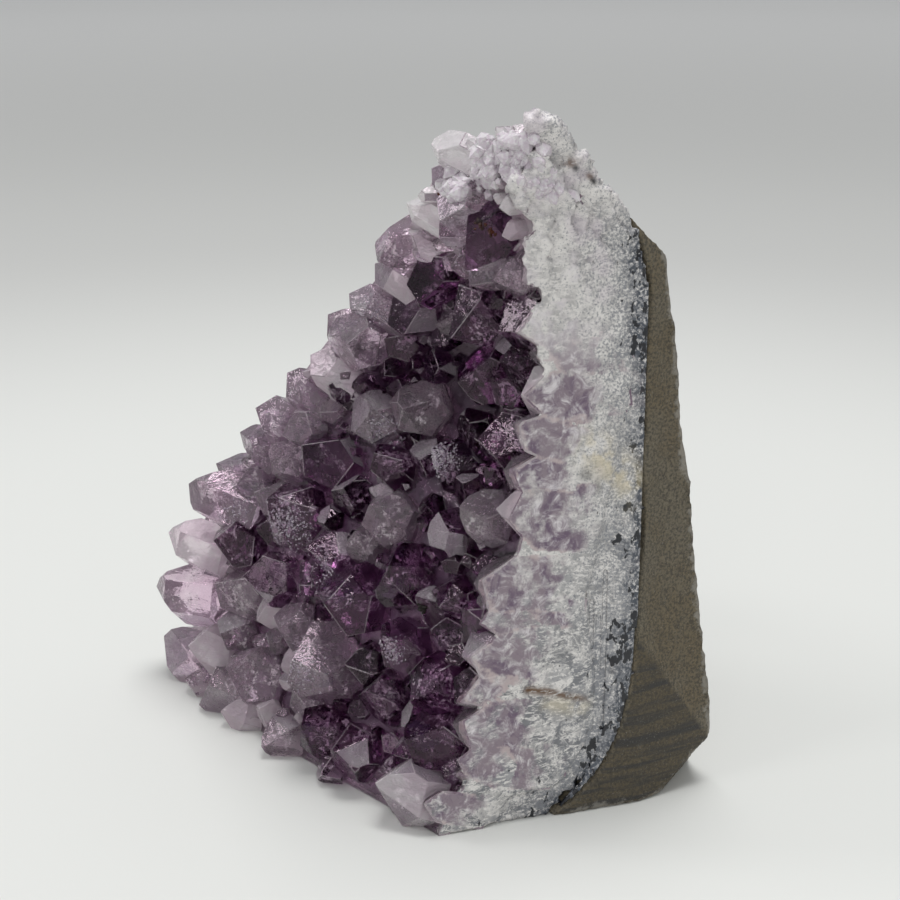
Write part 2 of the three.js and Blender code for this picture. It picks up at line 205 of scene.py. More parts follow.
@dataclass(frozen=True)
class Wall:
    """The surfaces of the geode's wall, as depths y over a place (x, z) seen from the front."""

    foot_y: float = -13.5
    lean_per_mm: float = 0.07
    hollow_at: Pair = (14.0, 72.0)
    hollow_depth: float = 15.0
    hollow_half_width: Pair = (21.0, 24.0)
    hollow_half_height: float = 24.0
    belly_at: Pair = (-12.0, 22.0)
    belly_reach: float = 4.5
    belly_half_size: Pair = (34.0, 26.0)
    toe_reach: float = 6.5
    toe_height: float = 9.0
    contact_at: float = 13.0
    contact_slope: float = 0.06
    contact_foot: Pair = (14.5, 9.0)
    contact_top: Pair = (88.0, 0.017)
    back_at: float = 30.3
    back_lean: float = 0.155
    back_slope: float = 0.06
    back_dome: Triple = (7.0, -5.0, 55.0)
    outline: tuple[Pair, ...] = (
        (-51, 1), (-51, 28), (-41, 44), (-15, 74), (8, 101), (24, 113), (34, 117),
        (42, 117), (42, 60), (38, 12), (30, 1),
    )
    rim_points: int = 7

    def hollow(self, x: float, z: float) -> float:
        """How deep in the hollow a place is, from 0 to 1."""
        width = self.hollow_half_width[0 if x < self.hollow_at[0] else 1]
        return bell(x - self.hollow_at[0], width) * bell(z - self.hollow_at[1], self.hollow_half_height)

    def face_y(self, x: float, z: float) -> float:
        """Depth of the crystal-bearing face.

        Args:
            x: the place across.
            z: its height.

        Returns:
            The depth y.
        """
        across, up = self.belly_half_size
        belly = self.belly_reach * bell(x - self.belly_at[0], across) * bell(z - self.belly_at[1], up)
        toe = self.toe_reach * bell(z, self.toe_height)
        return self.foot_y + self.lean_per_mm * z + self.hollow_depth * self.hollow(x, z) - belly - toe

    def contact_y(self, x: float, z: float) -> float:
        """Depth of the contact between the quartz and the basalt.

        Args:
            x: the place across.
            z: its height.

        Returns:
            The depth y.
        """
        reach, fade = self.contact_foot
        start, bend = self.contact_top
        foot = reach * math.exp(-max(z, 0.0) / fade)
        return self.contact_at - self.contact_slope * (44 - x) - foot - bend * max(z - start, 0.0) ** 2

    def back_y(self, x: float, z: float) -> float:
        """Depth of the natural outer surface of the basalt.

        Args:
            x: the place across.
            z: its height.

        Returns:
            The depth y.
        """
        height, middle, half_width = self.back_dome
        dome = height * (1 - ((x - middle) / half_width) ** 2)
        return self.back_at - self.back_lean * z - self.back_slope * (46 - x) + dome

    def face_normal(self, x: float, z: float) -> Triple:
        """Direction in which a crystal grows from the face if nothing disturbs it.

        Args:
            x: the place across.
            z: its height.

        Returns:
            The direction, one unit long.
        """
        step = 0.5
        slope_x = (self.face_y(x + step, z) - self.face_y(x - step, z)) / (2 * step)
        slope_z = (self.face_y(x, z + step) - self.face_y(x, z - step)) / (2 * step)
        return unit((slope_x, -1.0, slope_z))

    def holds(self, x: float, z: float) -> bool:
        """True where a place lies inside the outline of the face.

        Args:
            x: the place across.
            z: its height.

        Returns:
            True inside the outline.
        """
        inside = False
        for i, (x1, z1) in enumerate(self.outline):
            x2, z2 = self.outline[(i + 1) % len(self.outline)]
            if (z1 > z) != (z2 > z) and x < x1 + ((z - z1) / (z2 - z1)) * (x2 - x1):
                inside = not inside
        return inside

    def rim_distance(self, x: float, z: float) -> float:
        """How far a place lies from the left and upper edge of the outline.

        Args:
            x: the place across.
            z: its height.

        Returns:
            The distance in mm, seen from the front.
        """
        best = math.inf
        for (x1, z1), (x2, z2) in zip(self.outline[: self.rim_points - 1], self.outline[1:]):
            ax, az = x2 - x1, z2 - z1
            share = clamp(((x - x1) * ax + (z - z1) * az) / (ax * ax + az * az))
            best = min(best, math.hypot(x - (x1 + ax * share), z - (z1 + az * share)))
        return best


# ---------------------------------------------------------------- crystals


class Kind(Enum):
    """The looks a crystal may have; the value is its material index."""

    DEEP = 0
    VIOLET = 1
    PALE = 2
    MILKY = 3
    CLEAR = 4
    SAWN = 5
    FROSTED = 6
    WORN = 7


@dataclass
class Crystal:
    """One crystal: its tip, the way it points, and its size in mm."""

    tip: Triple
    axis: Triple
    half_width: float
    rise: float
    foot: Triple
    shifts: list[float] = field(default_factory=list)
    roll: float = 0.0
    kind: Kind | None = None


Pass = tuple[int, Pair, float, Pair]
Placed = tuple[Triple, Triple, float, Kind]
EdgeRow = tuple[int, Pair, Pair, Pair, Pair, Pair]


@dataclass(frozen=True)
class Growth:
    """The rule by which the crystals crowd onto the face.

    A pass holds (tries, half widths, spacing, rises), a placed crystal (tip, axis, half width, kind), and
    an edge row (count, start, end, lean, half widths, rises), with the places of a row as (x, z).
    """

    wall: Wall = Wall()
    seed: int = 31
    passes: tuple[Pass, ...] = (
        (700, (4.6, 6.2), 0.86, (1.0, 1.6)),
        (900, (3.2, 4.4), 0.8, (1.0, 1.7)),
        (900, (2.3, 3.0), 0.8, (1.1, 1.9)),
    )
    lean_jitter: float = 0.42
    rim_fan: Triple = (16.0, 0.68, 0.32)
    bounds_x: Pair = (-52, 44)
    bounds_z: Pair = (0, 119)
    large_rise: float = 1.7
    large: tuple[Placed, ...] = (
        ((20.7, -11.3, 101.6), (-0.05, -0.95, -0.3), 4.6, Kind.PALE),
        ((25.6, -10.8, 95.3), (-0.05, -0.85, -0.55), 5.2, Kind.VIOLET),
        ((34.8, -7.1, 93.8), (-0.3, -0.85, -0.4), 4.4, Kind.PALE),
        ((8.3, -5.7, 85.8), (0.25, -0.85, -0.5), 4.4, Kind.DEEP),
        ((16.4, -6.4, 80.5), (-0.05, -0.92, -0.4), 6.4, Kind.VIOLET),
        ((32.6, -9, 85.5), (-0.35, -0.9, -0.15), 5, Kind.VIOLET),
        ((3.6, -5.6, 79.1), (0.45, -0.8, -0.4), 4.4, Kind.VIOLET),
        ((-5.7, -12.3, 76.4), (0.45, -0.9, 0.15), 5.4, Kind.PALE),
        ((-1.3, -10.2, 65.5), (0.5, -0.7, 0.5), 4.8, Kind.PALE),
        ((5.8, -6.5, 67.2), (0.45, -0.8, 0.35), 5, Kind.PALE),
        ((13.3, -6.8, 59.9), (0.05, -0.85, 0.5), 4.4, Kind.DEEP),
        ((25.2, -7.3, 66.4), (-0.4, -0.9, 0.25), 5, Kind.VIOLET),
        ((34.8, -7, 75.3), (-0.35, -0.95, 0.05), 4.8, Kind.MILKY),
        ((36.3, -4.1, 82.3), (-0.35, -0.95, 0.1), 4, Kind.MILKY),
        ((34.6, -9.3, 63.7), (-0.4, -0.9, 0.25), 3.4, Kind.PALE),
        ((26.4, -11.6, 55.5), (-0.25, -0.85, 0.45), 4.6, Kind.PALE),
        ((33.6, -10.2, 56.5), (-0.35, -0.9, 0.15), 6, Kind.MILKY),
        ((5.8, -14.5, 50.1), (0.15, -0.8, 0.55), 4.6, Kind.PALE),
        ((18.5, -10.3, 51.9), (-0.1, -0.55, 0.85), 4, Kind.VIOLET),
        ((-33.7, -22.6, 33.5), (-0.1, -0.95, 0.15), 5.2, Kind.VIOLET),
        ((-15.6, -21.7, 46.3), (0.05, -0.85, 0.5), 6, Kind.VIOLET),
        ((-22, -23.2, 30.6), (-0.1, -0.95, 0.25), 4.8, Kind.VIOLET),
        ((3.4, -24.5, 33.5), (0.15, -0.95, 0.15), 6.4, Kind.VIOLET),
        ((1.2, -15.5, 44.4), (0.15, -0.75, 0.65), 3.4, Kind.PALE),
        ((32.2, -14, 44), (-0.35, -0.9, 0.15), 5.8, Kind.PALE),
        ((31.5, -15.9, 32.5), (-0.35, -0.95, 0.1), 5.6, Kind.MILKY),
        ((31.1, -17.2, 20), (-0.35, -0.9, 0.15), 4.8, Kind.PALE),
        ((32.2, -14.3, 11.1), (-0.35, -0.9, 0.1), 4.4, Kind.MILKY),
        ((-22.9, -26.9, 12.5), (-0.1, -0.95, 0.35), 5.4, Kind.PALE),
        ((-1.6, -26.8, 24), (0.05, -0.9, 0.45), 7, Kind.PALE),
        ((16.1, -20.8, 29.8), (0.05, -0.95, 0.3), 4.6, Kind.VIOLET),
        ((12.1, -21.8, 19.9), (0.05, -0.9, 0.45), 4.4, Kind.VIOLET),
        ((9.4, -26.9, 9), (0.1, -0.9, 0.35), 4.8, Kind.VIOLET),
        ((22.3, -27, 7.9), (-0.25, -0.9, 0.35), 5.8, Kind.MILKY),
        ((-45, -20, 42.5), (-0.8, -0.5, 0.3), 5.2, Kind.PALE),
        ((-53.5, -20, 30), (-0.9, -0.4, 0.2), 4.6, Kind.MILKY),
        ((-57.6, -21, 16.6), (-0.9, -0.4, -0.05), 5.6, Kind.PALE),
        ((-39.4, -25.5, 10.9), (-0.1, -0.95, 0.25), 5, Kind.MILKY),
        ((2, -9.2, 91.7), (0.25, -0.95, -0.2), 4.2, Kind.PALE),
    )
    edge_rows: tuple[EdgeRow, ...] = (
        (12, (-39, 45), (20, 112), (-1.3, 0.9), (3.4, 4.8), (1.0, 1.5)),
        (5, (23, 112), (37, 117), (-0.3, 1.2), (2.2, 3), (1.0, 1.3)),
    )
    row_jitter: Pair = (-1, 1)
    row_lean: Pair = (0.7, 1.2)
    apex_shift: float = 0.22
    apex_lift: Pair = (0.15, 0.8)
    rider_seed: int = 11
    rider_host: float = 2.4
    rider_count: Pair = (0.0, 1.7)
    rider_share: tuple[tuple[Kind, float], ...] = ((Kind.CLEAR, 8.0), (Kind.MILKY, 4.0), (Kind.PALE, 1.5))
    rider_width: Pair = (0.22, 0.5)
    rider_out: Pair = (0.45, 0.95)
    rider_back: Pair = (0.55, 1.5)
    rider_lean: Pair = (-0.05, 0.28)
    rider_rise: float = 2.5
    druse_inside: float = 0.4
    druse_rim: float = 12.0
    druse_top: Pair = (82.0, 10.0)
    druse_seed: int = 77
    druse: tuple[Pass, ...] = (
        (1500, (1.5, 2.2), 0.74, (1.2, 2.2)),
        (2200, (0.9, 1.4), 0.72, (1.2, 2.4)),
    )

    def on_face(self, x: float, z: float, axis: Triple, half_width: float, rise: float) -> Crystal:
        """A crystal that stands on the face at a place seen from the front.

        Args:
            x: the place across.
            z: its height.
            axis: the way the crystal points.
            half_width: half the width of its prism.
            rise: how far its tip stands off the face.

        Returns:
            The crystal.
        """
        foot = (x, self.wall.face_y(x, z), z)
        tip = tuple(foot[i] + axis[i] * rise for i in range(3))
        return Crystal(tip, axis, half_width, rise, foot)

    def direction(self, x: float, z: float, dice: Dice) -> Triple:
        """The way a crystal points: off the face, and fanning out over the rim.

        Args:
            x: the place across.
            z: its height.
            dice: the generator to draw from.

        Returns:
            The direction, one unit long.
        """
        normal = self.wall.face_normal(x, z)
        width, outwards, upwards = self.rim_fan
        near = max(0.0, 1 - self.wall.rim_distance(x, z) / width)
        dx = normal[0] + dice.draw(-self.lean_jitter, self.lean_jitter) - outwards * near
        dz = normal[2] + dice.draw(-self.lean_jitter, self.lean_jitter) + upwards * near
        return unit((dx, normal[1], dz))

    def crowd(self, crystals: list[Crystal], passes: tuple[Pass, ...], dice: Dice) -> None:
        """Adds crystals where there is room.

        Args:
            crystals: those that stand already, added to in place.
            passes: the passes, from the thickest crystals to the thinnest.
            dice: the generator to draw from.
        """
        for tries, (thin, thick), spacing, (low, high) in passes:
            for _ in range(tries):
                x = dice.draw(*self.bounds_x)
                z = dice.draw(*self.bounds_z)
                half_width = dice.draw(thin, thick)
                rise = half_width * dice.draw(low, high)
                if not self.wall.holds(x, z):
                    continue
                crystal = self.on_face(x, z, self.direction(x, z, dice), half_width, rise)
                if not any(
                    distance(other.foot, crystal.foot) < spacing * (other.half_width + half_width)
                    for other in crystals
                ):
                    crystals.append(crystal)

    def finish(self, crystals: list[Crystal], dice: Dice) -> None:
        """Draws the uneven faces and the roll of each crystal.

        Args:
            crystals: the crystals, changed in place.
            dice: the generator to draw from.
        """
        for crystal in crystals:
            shift = self.apex_shift * crystal.half_width
            larger = [dice.draw(-shift, shift), dice.draw(-shift, shift)]
            lift = crystal.half_width * dice.draw(*self.apex_lift)
            smaller = [dice.draw(-shift, shift), dice.draw(-shift, shift)]
            crystal.shifts = [*larger, lift, *smaller]
            crystal.roll = dice.draw(0, 2 * math.pi)

    def main_crystals(self) -> list[Crystal]:
        """The crystals that carry the shape of the piece.

        Returns:
            The large ones, the rows along the rim, and those that crowd between them.
        """
        dice = Dice(self.seed)
        crystals = []
        for tip, axis, half_width, kind in self.large:
            way = unit(axis)
            rise = half_width * self.large_rise
            foot = tuple(tip[i] - way[i] * rise for i in range(3))
            crystals.append(Crystal(tip, way, half_width, rise, foot, kind=kind))
        for count, start, end, lean, widths, rises in self.edge_rows:
            for i in range(count):
                share = i / (count - 1)
                x = mix(start[0], end[0], share) + dice.draw(*self.row_jitter)
                z = mix(start[1], end[1], share) + dice.draw(*self.row_jitter)
                width = dice.draw(*widths)
                outwards = dice.draw(*self.row_lean)
                axis = unit((lean[0] * outwards, -1.0, lean[1] * outwards))
                crystals.append(self.on_face(x, z, axis, width, width * dice.draw(*rises)))
        self.crowd(crystals, self.passes, dice)
        self.finish(crystals, dice)
        return crystals

    def riders(self, hosts: list[Crystal]) -> list[Crystal]:
        """Small crystals grown on the larger ones, nearly parallel to them.

        Args:
            hosts: the crystals that may carry riders.

        Returns:
            The riders.
        """
        dice = Dice(self.rider_seed)
        shares = dict(self.rider_share)
        riders = []
        for host in hosts:
            if host.half_width < self.rider_host:
                continue
            count = int(dice.draw(*self.rider_count) * shares.get(host.kind, 1.0))
            riders.extend(self.rider(host, dice) for _ in range(count))
        self.finish(riders, dice)
        return riders

    def rider(self, host: Crystal, dice: Dice) -> Crystal:
        """One small crystal on the side of a larger one.

        Args:
            host: the crystal that it grows on.
            dice: the generator to draw from.

        Returns:
            The rider.
        """
        half_width = host.half_width * dice.draw(*self.rider_width)
        angle = dice.draw(0, 2 * math.pi)
        out = host.half_width * dice.draw(*self.rider_out)
        back = host.half_width * dice.draw(*self.rider_back) + 0.25 * out
        side = Vector(host.axis).orthogonal().normalized()
        across = Vector(host.axis).cross(side)
        way = side * math.cos(angle) + across * math.sin(angle)
        axis = (Vector(host.axis) + way * dice.draw(*self.rider_lean)).normalized()
        tip = Vector(host.tip) - Vector(host.axis) * back + way * out
        rise = min(host.rise + 2, half_width * self.rider_rise)
        foot = tip - axis * rise
        return Crystal(tuple(tip), tuple(axis), half_width, rise, tuple(foot), kind=host.kind)

    def small_crystals(self, main: list[Crystal]) -> list[Crystal]:
        """The druse of small crystals in the gaps between the main ones.

        Args:
            main: the crystals that stand already.

        Returns:
            The small crystals.
        """
        dice = Dice(self.druse_seed)
        crystals = list(main)
        self.crowd(crystals, self.druse, dice)
        small = [c for c in crystals[len(main):] if dice.draw(0, 1) < self.druse_share(c)]
        self.finish(small, dice)
        return small

    def druse_share(self, crystal: Crystal) -> float:
        """The share of small crystals that is left: all at the rim and top, fewer inside.

        Args:
            crystal: a small crystal.

        Returns:
            The chance that it is kept, from 0 to 1.
        """
        x, _, z = crystal.foot
        start, fade = self.druse_top
        edge = clamp(1.6 - self.wall.rim_distance(x, z) / self.druse_rim)
        return mix(self.druse_inside, 1.0, max(edge, clamp((z - start) / fade)))


class CrystalCutter:
    """Cuts single crystals: a tapered six-sided prism closed by two three-faced pyramids."""

    HALF_ANGLE = math.radians(38.2)
    TAPER = 0.9
    ROOT = 7.0
    EDGE_WEAR = 0.11
    EDGE_SHARE = 0.06
    FROSTED_ABOVE = 0.84
    # Bevel faces above this noise value take the pale worn finish: partly real chipped wear, partly painted
    # highlight along the edges.
    WORN_ABOVE = 0.35
    SEED_SCALE = 5.3
    FACE_CELLS = 4
    EDGE_CELLS = 0.5

    def stand(self, crystal: Crystal) -> Matrix:
        """The turn and place of a crystal that is cut upright with its tip at the origin.

        Args:
            crystal: the crystal.

        Returns:
            The matrix that brings it there.
        """
        upright = Matrix(((0, 1, 0), (0, 0, 1), (1, 0, 0))).to_4x4()
        lean = Vector((0, 1, 0)).rotation_difference(Vector(crystal.axis)).to_matrix().to_4x4()
        roll = Matrix.Rotation(crystal.roll, 4, "Z")
        return Matrix.Translation(crystal.tip) @ lean @ upright @ roll

    def pyramid_planes(self, crystal: Crystal) -> list[tuple[Vector, Vector]]:
        """A point and the outward direction of each pyramid face of an upright crystal.

        Args:
            crystal: the crystal.

        Returns:
            The six planes, larger and smaller faces in turn.
        """
        x_large, z_large, lift, x_small, z_small = crystal.shifts
        flank, up = math.cos(self.HALF_ANGLE), math.sin(self.HALF_ANGLE)
        planes = []
        for k, turn in enumerate(SIXTHS):
            normal = Vector((math.cos(turn) * flank, math.sin(turn) * flank, up))
            apex = Vector((z_large, x_large, 0)) if k % 2 else Vector((z_small, x_small, lift))
            planes.append((apex, normal))
        return planes

    def depth_inside(self, crystal: Crystal, places: np.ndarray) -> tuple[np.ndarray, np.ndarray]:
        """How far each place lies inside a crystal, and how far above its root end.

        Args:
            crystal: the crystal.
            places: an array of points in mm.

        Returns:
            The distance to its nearest face, negative outside and below the root end, and the height
            above the root end.
        """
        back = np.array(self.stand(crystal).inverted())
        local = places @ back[:3, :3].T + back[:3, 3]
        length = crystal.rise + self.ROOT
        widening = (1 - self.TAPER) * np.clip(-local[:, 2] / length, 0, 1)
        reach = crystal.half_width * (self.TAPER + widening)
        depth = np.full(len(places), np.inf)
        for turn in SIXTHS:
            depth = np.minimum(depth, reach - (local[:, 0] * math.cos(turn) + local[:, 1] * math.sin(turn)))
        for apex, normal in self.pyramid_planes(crystal):
            depth = np.minimum(depth, -(local - np.array(apex)) @ np.array(normal))
        root = length + local[:, 2]
        return np.where(root > 0, depth, -1.0), root

    def build(self, crystal: Crystal, shrink: float = 0.0) -> bmesh.types.BMesh:
        """One crystal in place.

        Args:
            crystal: the crystal to cut.
            shrink: how much thinner it is made all round.

        Returns:
            A new bmesh, in mm.
        """
        half_width = crystal.half_width - shrink
        across = half_width / math.cos(math.pi / 6)
        length = crystal.rise + self.ROOT - shrink
        bm = bmesh.new()
        bmesh.ops.create_cone(
            bm, cap_ends=True, segments=6, radius1=across, radius2=across * self.TAPER, depth=length
        )
        bmesh.ops.translate(bm, verts=bm.verts, vec=(0, 0, -length / 2))
        for apex, normal in self.pyramid_planes(crystal):
            apex.z -= shrink
            geometry = [*bm.verts, *bm.edges, *bm.faces]
            bmesh.ops.bisect_plane(
                bm, geom=geometry, dist=1e-4, plane_co=apex, plane_no=normal, clear_outer=True
            )
            bmesh.ops.holes_fill(bm, edges=[e for e in bm.edges if e.is_boundary], sides=0)
        seed = Vector(crystal.tip) * self.SEED_SCALE
        for face in bm.faces:
            frosted = noise.cell(face.normal * self.FACE_CELLS + seed) > self.FROSTED_ABOVE
            face.material_index = (Kind.FROSTED if frosted else crystal.kind).value
        if not shrink:
            wear = min(self.EDGE_WEAR, self.EDGE_SHARE * half_width)
            worn = bmesh.ops.bevel(
                bm, geom=bm.edges[:], offset=wear, segments=1, affect="EDGES", profile=0.5,
                material=-1, clamp_overlap=True,
            )
            # Painted highlight: most bevelled edges take the pale, dull worn finish, which is partly real
            # chipped wear and partly stands in for bright highlights along the edges.
            for face in worn["faces"]:
                chipped = noise.cell(face.calc_center_median() * self.EDGE_CELLS + seed) > self.WORN_ABOVE
                face.material_index = (Kind.WORN if chipped else crystal.kind).value
        bmesh.ops.transform(bm, matrix=self.stand(crystal), verts=bm.verts)
        return bm


# ---------------------------------------------------------------- solids


class Workshop:
    """Joins, cuts and remeshes closed solids, and moves finished ones into the frame."""

    WASTE_SIZE = 400.0
    SLAB_HALF_SIZE = 75
    SLAB_MIDDLE = (-5, 0, 60)
    SLAB_SQUARES = 48
    TO_FRAME = (5.1257, -3.2490, 0.0)

    def __init__(self) -> None:
        """Sets the shift that centres the stone over the frame's origin."""
        self.shift = Vector(self.TO_FRAME)

    def thing(self, name: str, source: bmesh.types.BMesh | bpy.types.Mesh) -> bpy.types.Object:
        """A linked object of a bmesh, which it frees, or of a mesh.

        Args:
            name: the object's name.
            source: the bmesh or mesh.

        Returns:
            The object.
        """
        mesh = source
        if isinstance(source, bmesh.types.BMesh):
            mesh = bpy.data.meshes.new(name)
            source.to_mesh(mesh)
            source.free()
        piece = bpy.data.objects.new(name, mesh)
        bpy.context.scene.collection.objects.link(piece)
        return piece

    def apply(self, piece: bpy.types.Object) -> bpy.types.Object:
        """Applies a piece's modifiers.

        Args:
            piece: the piece.

        Returns:
            The piece, with its new mesh.
        """
        depsgraph = bpy.context.evaluated_depsgraph_get()
        mesh = bpy.data.meshes.new_from_object(piece.evaluated_get(depsgraph), depsgraph=depsgraph)
        piece.modifiers.clear()
        piece.data = mesh
        return piece

    def combine(self, piece: bpy.types.Object, tools: list[bpy.types.Object], how: str) -> bpy.types.Object:
        """Joins tools to a piece or cuts them out of it.

        Args:
            piece: the solid that is kept.
            tools: closed solids, which are removed afterwards.
            how: UNION, DIFFERENCE or INTERSECT.

        Returns:
            The piece, with its new mesh.
        """
        tray = bpy.data.collections.new("tray")
        bpy.context.scene.collection.children.link(tray)
        for tool in tools:
            bpy.context.scene.collection.objects.unlink(tool)
            tray.objects.link(tool)
        step = piece.modifiers.new("combine", "BOOLEAN")
        step.operation = how
        step.solver = "MANIFOLD"
        step.operand_type = "COLLECTION"
        step.collection = tray
        self.apply(piece)
        for tool in tools:
            bpy.data.objects.remove(tool)
        bpy.data.collections.remove(tray)
        return piece

    def waste(self, cut: Cut, proud: float = 0.0) -> bpy.types.Object:
        """A large block on the outer side of a cut, moved outwards by proud.

        Args:
            cut: the cut.
            proud: how far the block is moved outwards.

        Returns:
            The block.
        """
        point, normal = cut.plane()
        bm = bmesh.new()
        bmesh.ops.create_cube(bm, size=self.WASTE_SIZE)
        turn = Vector((0, 0, 1)).rotation_difference(normal).to_matrix().to_4x4()
        place = Matrix.Translation(point + normal * (self.WASTE_SIZE / 2 + proud)) @ turn
        bmesh.ops.transform(bm, matrix=place, verts=bm.verts)
        return self.thing("waste", bm)

    def slab(self, front: Surface, rear: Surface) -> bmesh.types.BMesh:
        """A slab of the wall between two surfaces.

        Args:
            front: depth of the front over (x, z).
            rear: depth of the rear over (x, z).

        Returns:
            A closed bmesh, far wider than the stone.
        """
        bm = bmesh.new()
        squares = self.SLAB_SQUARES
        bmesh.ops.create_grid(bm, x_segments=squares, y_segments=squares, size=self.SLAB_HALF_SIZE)
        bmesh.ops.rotate(bm, verts=bm.verts, cent=(0, 0, 0), matrix=Matrix.Rotation(math.pi / 2, 3, "X"))
        bmesh.ops.translate(bm, verts=bm.verts, vec=self.SLAB_MIDDLE)
        fronts = set(bm.verts)
        bmesh.ops.extrude_face_region(bm, geom=bm.faces[:], use_keep_orig=True)
        for vert in bm.verts:
            surface = front if vert in fronts else rear
            vert.co.y = surface(vert.co.x, vert.co.z)
        bmesh.ops.recalc_face_normals(bm, faces=bm.faces)
        return bm

    def behind(self, front: Surface) -> bpy.types.Object:
        """Everything behind a surface, as a solid to cut with."""
        return self.thing("behind", self.slab(front, lambda x, z: FAR_BEHIND))

    def remesh(self, piece: bpy.types.Object, voxel: float, rounds: int) -> bpy.types.Object:
        """Gives a piece an even mesh of small squares, with edges that are slightly worn.

        Args:
            piece: the solid.
            voxel: the size of the squares.
            rounds: how often the mesh is relaxed.

        Returns:
            The piece, with its new mesh.
        """
        step = piece.modifiers.new("even", "REMESH")
        step.mode = "VOXEL"
        step.voxel_size = voxel
        step.adaptivity = 0.0
        step = piece.modifiers.new("worn", "SMOOTH")
        step.factor = 0.5
        step.iterations = rounds
        return self.apply(piece)

    def deliver(self, piece: bpy.types.Object, node: str, slot: str) -> bpy.types.Object:
        """Moves a finished piece into the frame and hides the CAD node that it stands for.

        Args:
            piece: the finished piece, in mm.
            node: the CAD node that it stands for.
            slot: the material slot of that node; not used.

        Returns:
            The piece, in the frame.
        """
        piece.data.transform(Matrix.Scale(MM, 4) @ Matrix.Translation(self.shift))
        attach(piece, BODY)
        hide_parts(node)
        LOG.info("%s: %d faces, %.1f s", piece.name, len(piece.data.polygons), time.process_time())
        return piece


def weather(piece: bpy.types.Object, relief: Relief) -> None:
    """Moves the points above the foot rim along their normals, and lets none sink below the floor.

    Args:
        piece: the piece, in mm.
        relief: the distance for a place and its normal.
    """
    mesh = piece.data
    places = [v.co.copy() for v in mesh.vertices]
    normals = [v.vector.copy() for v in mesh.vertex_normals]
    moved = []
    for place, normal in zip(places, normals):
        if place.z > FOOT_RIM:
            place = place + normal * relief(place, normal)
        place.z = max(place.z, 0.0)
        moved.extend(place)
    mesh.vertices.foreach_set("co", moved)
    mesh.update()


def waves(place: Vector, parts: tuple[Pair, ...]) -> float:
    """The sum of smooth noises, each with its frequency per mm and its height."""
    return sum(noise.noise(place * frequency) * height for frequency, height in parts)


def chips(place: Vector, size: float) -> float:
    """Height of a broken surface whose chips, of one size, are each tilted their own way.

    Args:
        place: the place.
        size: the size of a chip in mm.

    Returns:
        The height in mm.
    """
    nearest = noise.voronoi(place / size)[1][0]
    tilt = noise.cell_vector(nearest * CELL_SPREAD)
    return (place / size - nearest).dot(tilt) * size


def dress(piece: bpy.types.Object, materials: list[bpy.types.Material]) -> None:
    """Gives a piece its materials, in the order of its faces' indices.

    Args:
        piece: the piece.
        materials: one for each index; the last also takes the indices past it.
    """
    mesh = piece.data
    indices = [0] * len(mesh.polygons)
    mesh.polygons.foreach_get("material_index", indices)
    mesh.materials.clear()
    for material in materials:
        mesh.materials.append(material)
    last = len(materials) - 1
    mesh.polygons.foreach_set("material_index", [min(i, last) for i in indices])


def attribute(piece: bpy.types.Object, name: str, values: list[float]) -> None:
    """Stores one number per point of a piece."""
    layer = piece.data.attributes.new(name, "FLOAT", "POINT")
    layer.data.foreach_set("value", values)


def convexity(piece: bpy.types.Object, rounds: int = 3) -> np.ndarray:
    """How far each point stands out from its neighbours, in mm, spread over a few of them.

    Args:
        piece: an evenly meshed piece.
        rounds: how often the values are spread.

    Returns:
        One number per point, above 0 on edges and corners.
    """
    mesh = piece.data
    count = len(mesh.vertices)
    places = np.zeros(count * 3)
    mesh.vertices.foreach_get("co", places)
    places = places.reshape(-1, 3)
    normals = np.zeros(count * 3, np.float32)
    mesh.vertex_normals.foreach_get("vector", normals)
    pairs = np.zeros(len(mesh.edges) * 2, np.int32)
    mesh.edges.foreach_get("vertices", pairs)
    a, b = pairs.reshape(-1, 2).T
    links = np.maximum(np.bincount(a, minlength=count) + np.bincount(b, minlength=count), 1)

    def spread(values: np.ndarray) -> np.ndarray:
        """The mean of each point's neighbours."""
        return (np.bincount(a, values[b], count) + np.bincount(b, values[a], count)) / links

    mean = np.stack([spread(places[:, i]) for i in range(3)], axis=1)
    out = np.sum((places - mean) * normals.reshape(-1, 3), axis=1)
    for _ in range(rounds):
        out = 0.5 * out + 0.5 * spread(out)
    return np.maximum(out * 6, 0)


def layers(piece: bpy.types.Object, wall: Wall) -> None:
    """Stores how deep each point of a piece lies in the wall.

    Args:
        piece: the piece, in mm.
        wall: the surfaces of the geode's wall.
    """
    points = [v.co for v in piece.data.vertices]
    attribute(piece, "from_contact", [wall.contact_y(p.x, p.z) - p.y for p in points])
    attribute(piece, "below_face", [p.y - wall.face_y(p.x, p.z) for p in points])
    # How deep in the hollow each point lies; the quartz finish paints shade by it.
    attribute(piece, "in_hollow", [wall.hollow(p.x, p.z) for p in points])
    for name, (start, fade) in HEIGHT_BANDS.items():
        attribute(piece, name, [clamp((p.z - start) / fade) for p in points])
    for name, marks in STAINS.items():
        attribute(piece, name, [max(mark.strength(p) for mark in marks) for p in points])


# ---------------------------------------------------------------- finishes


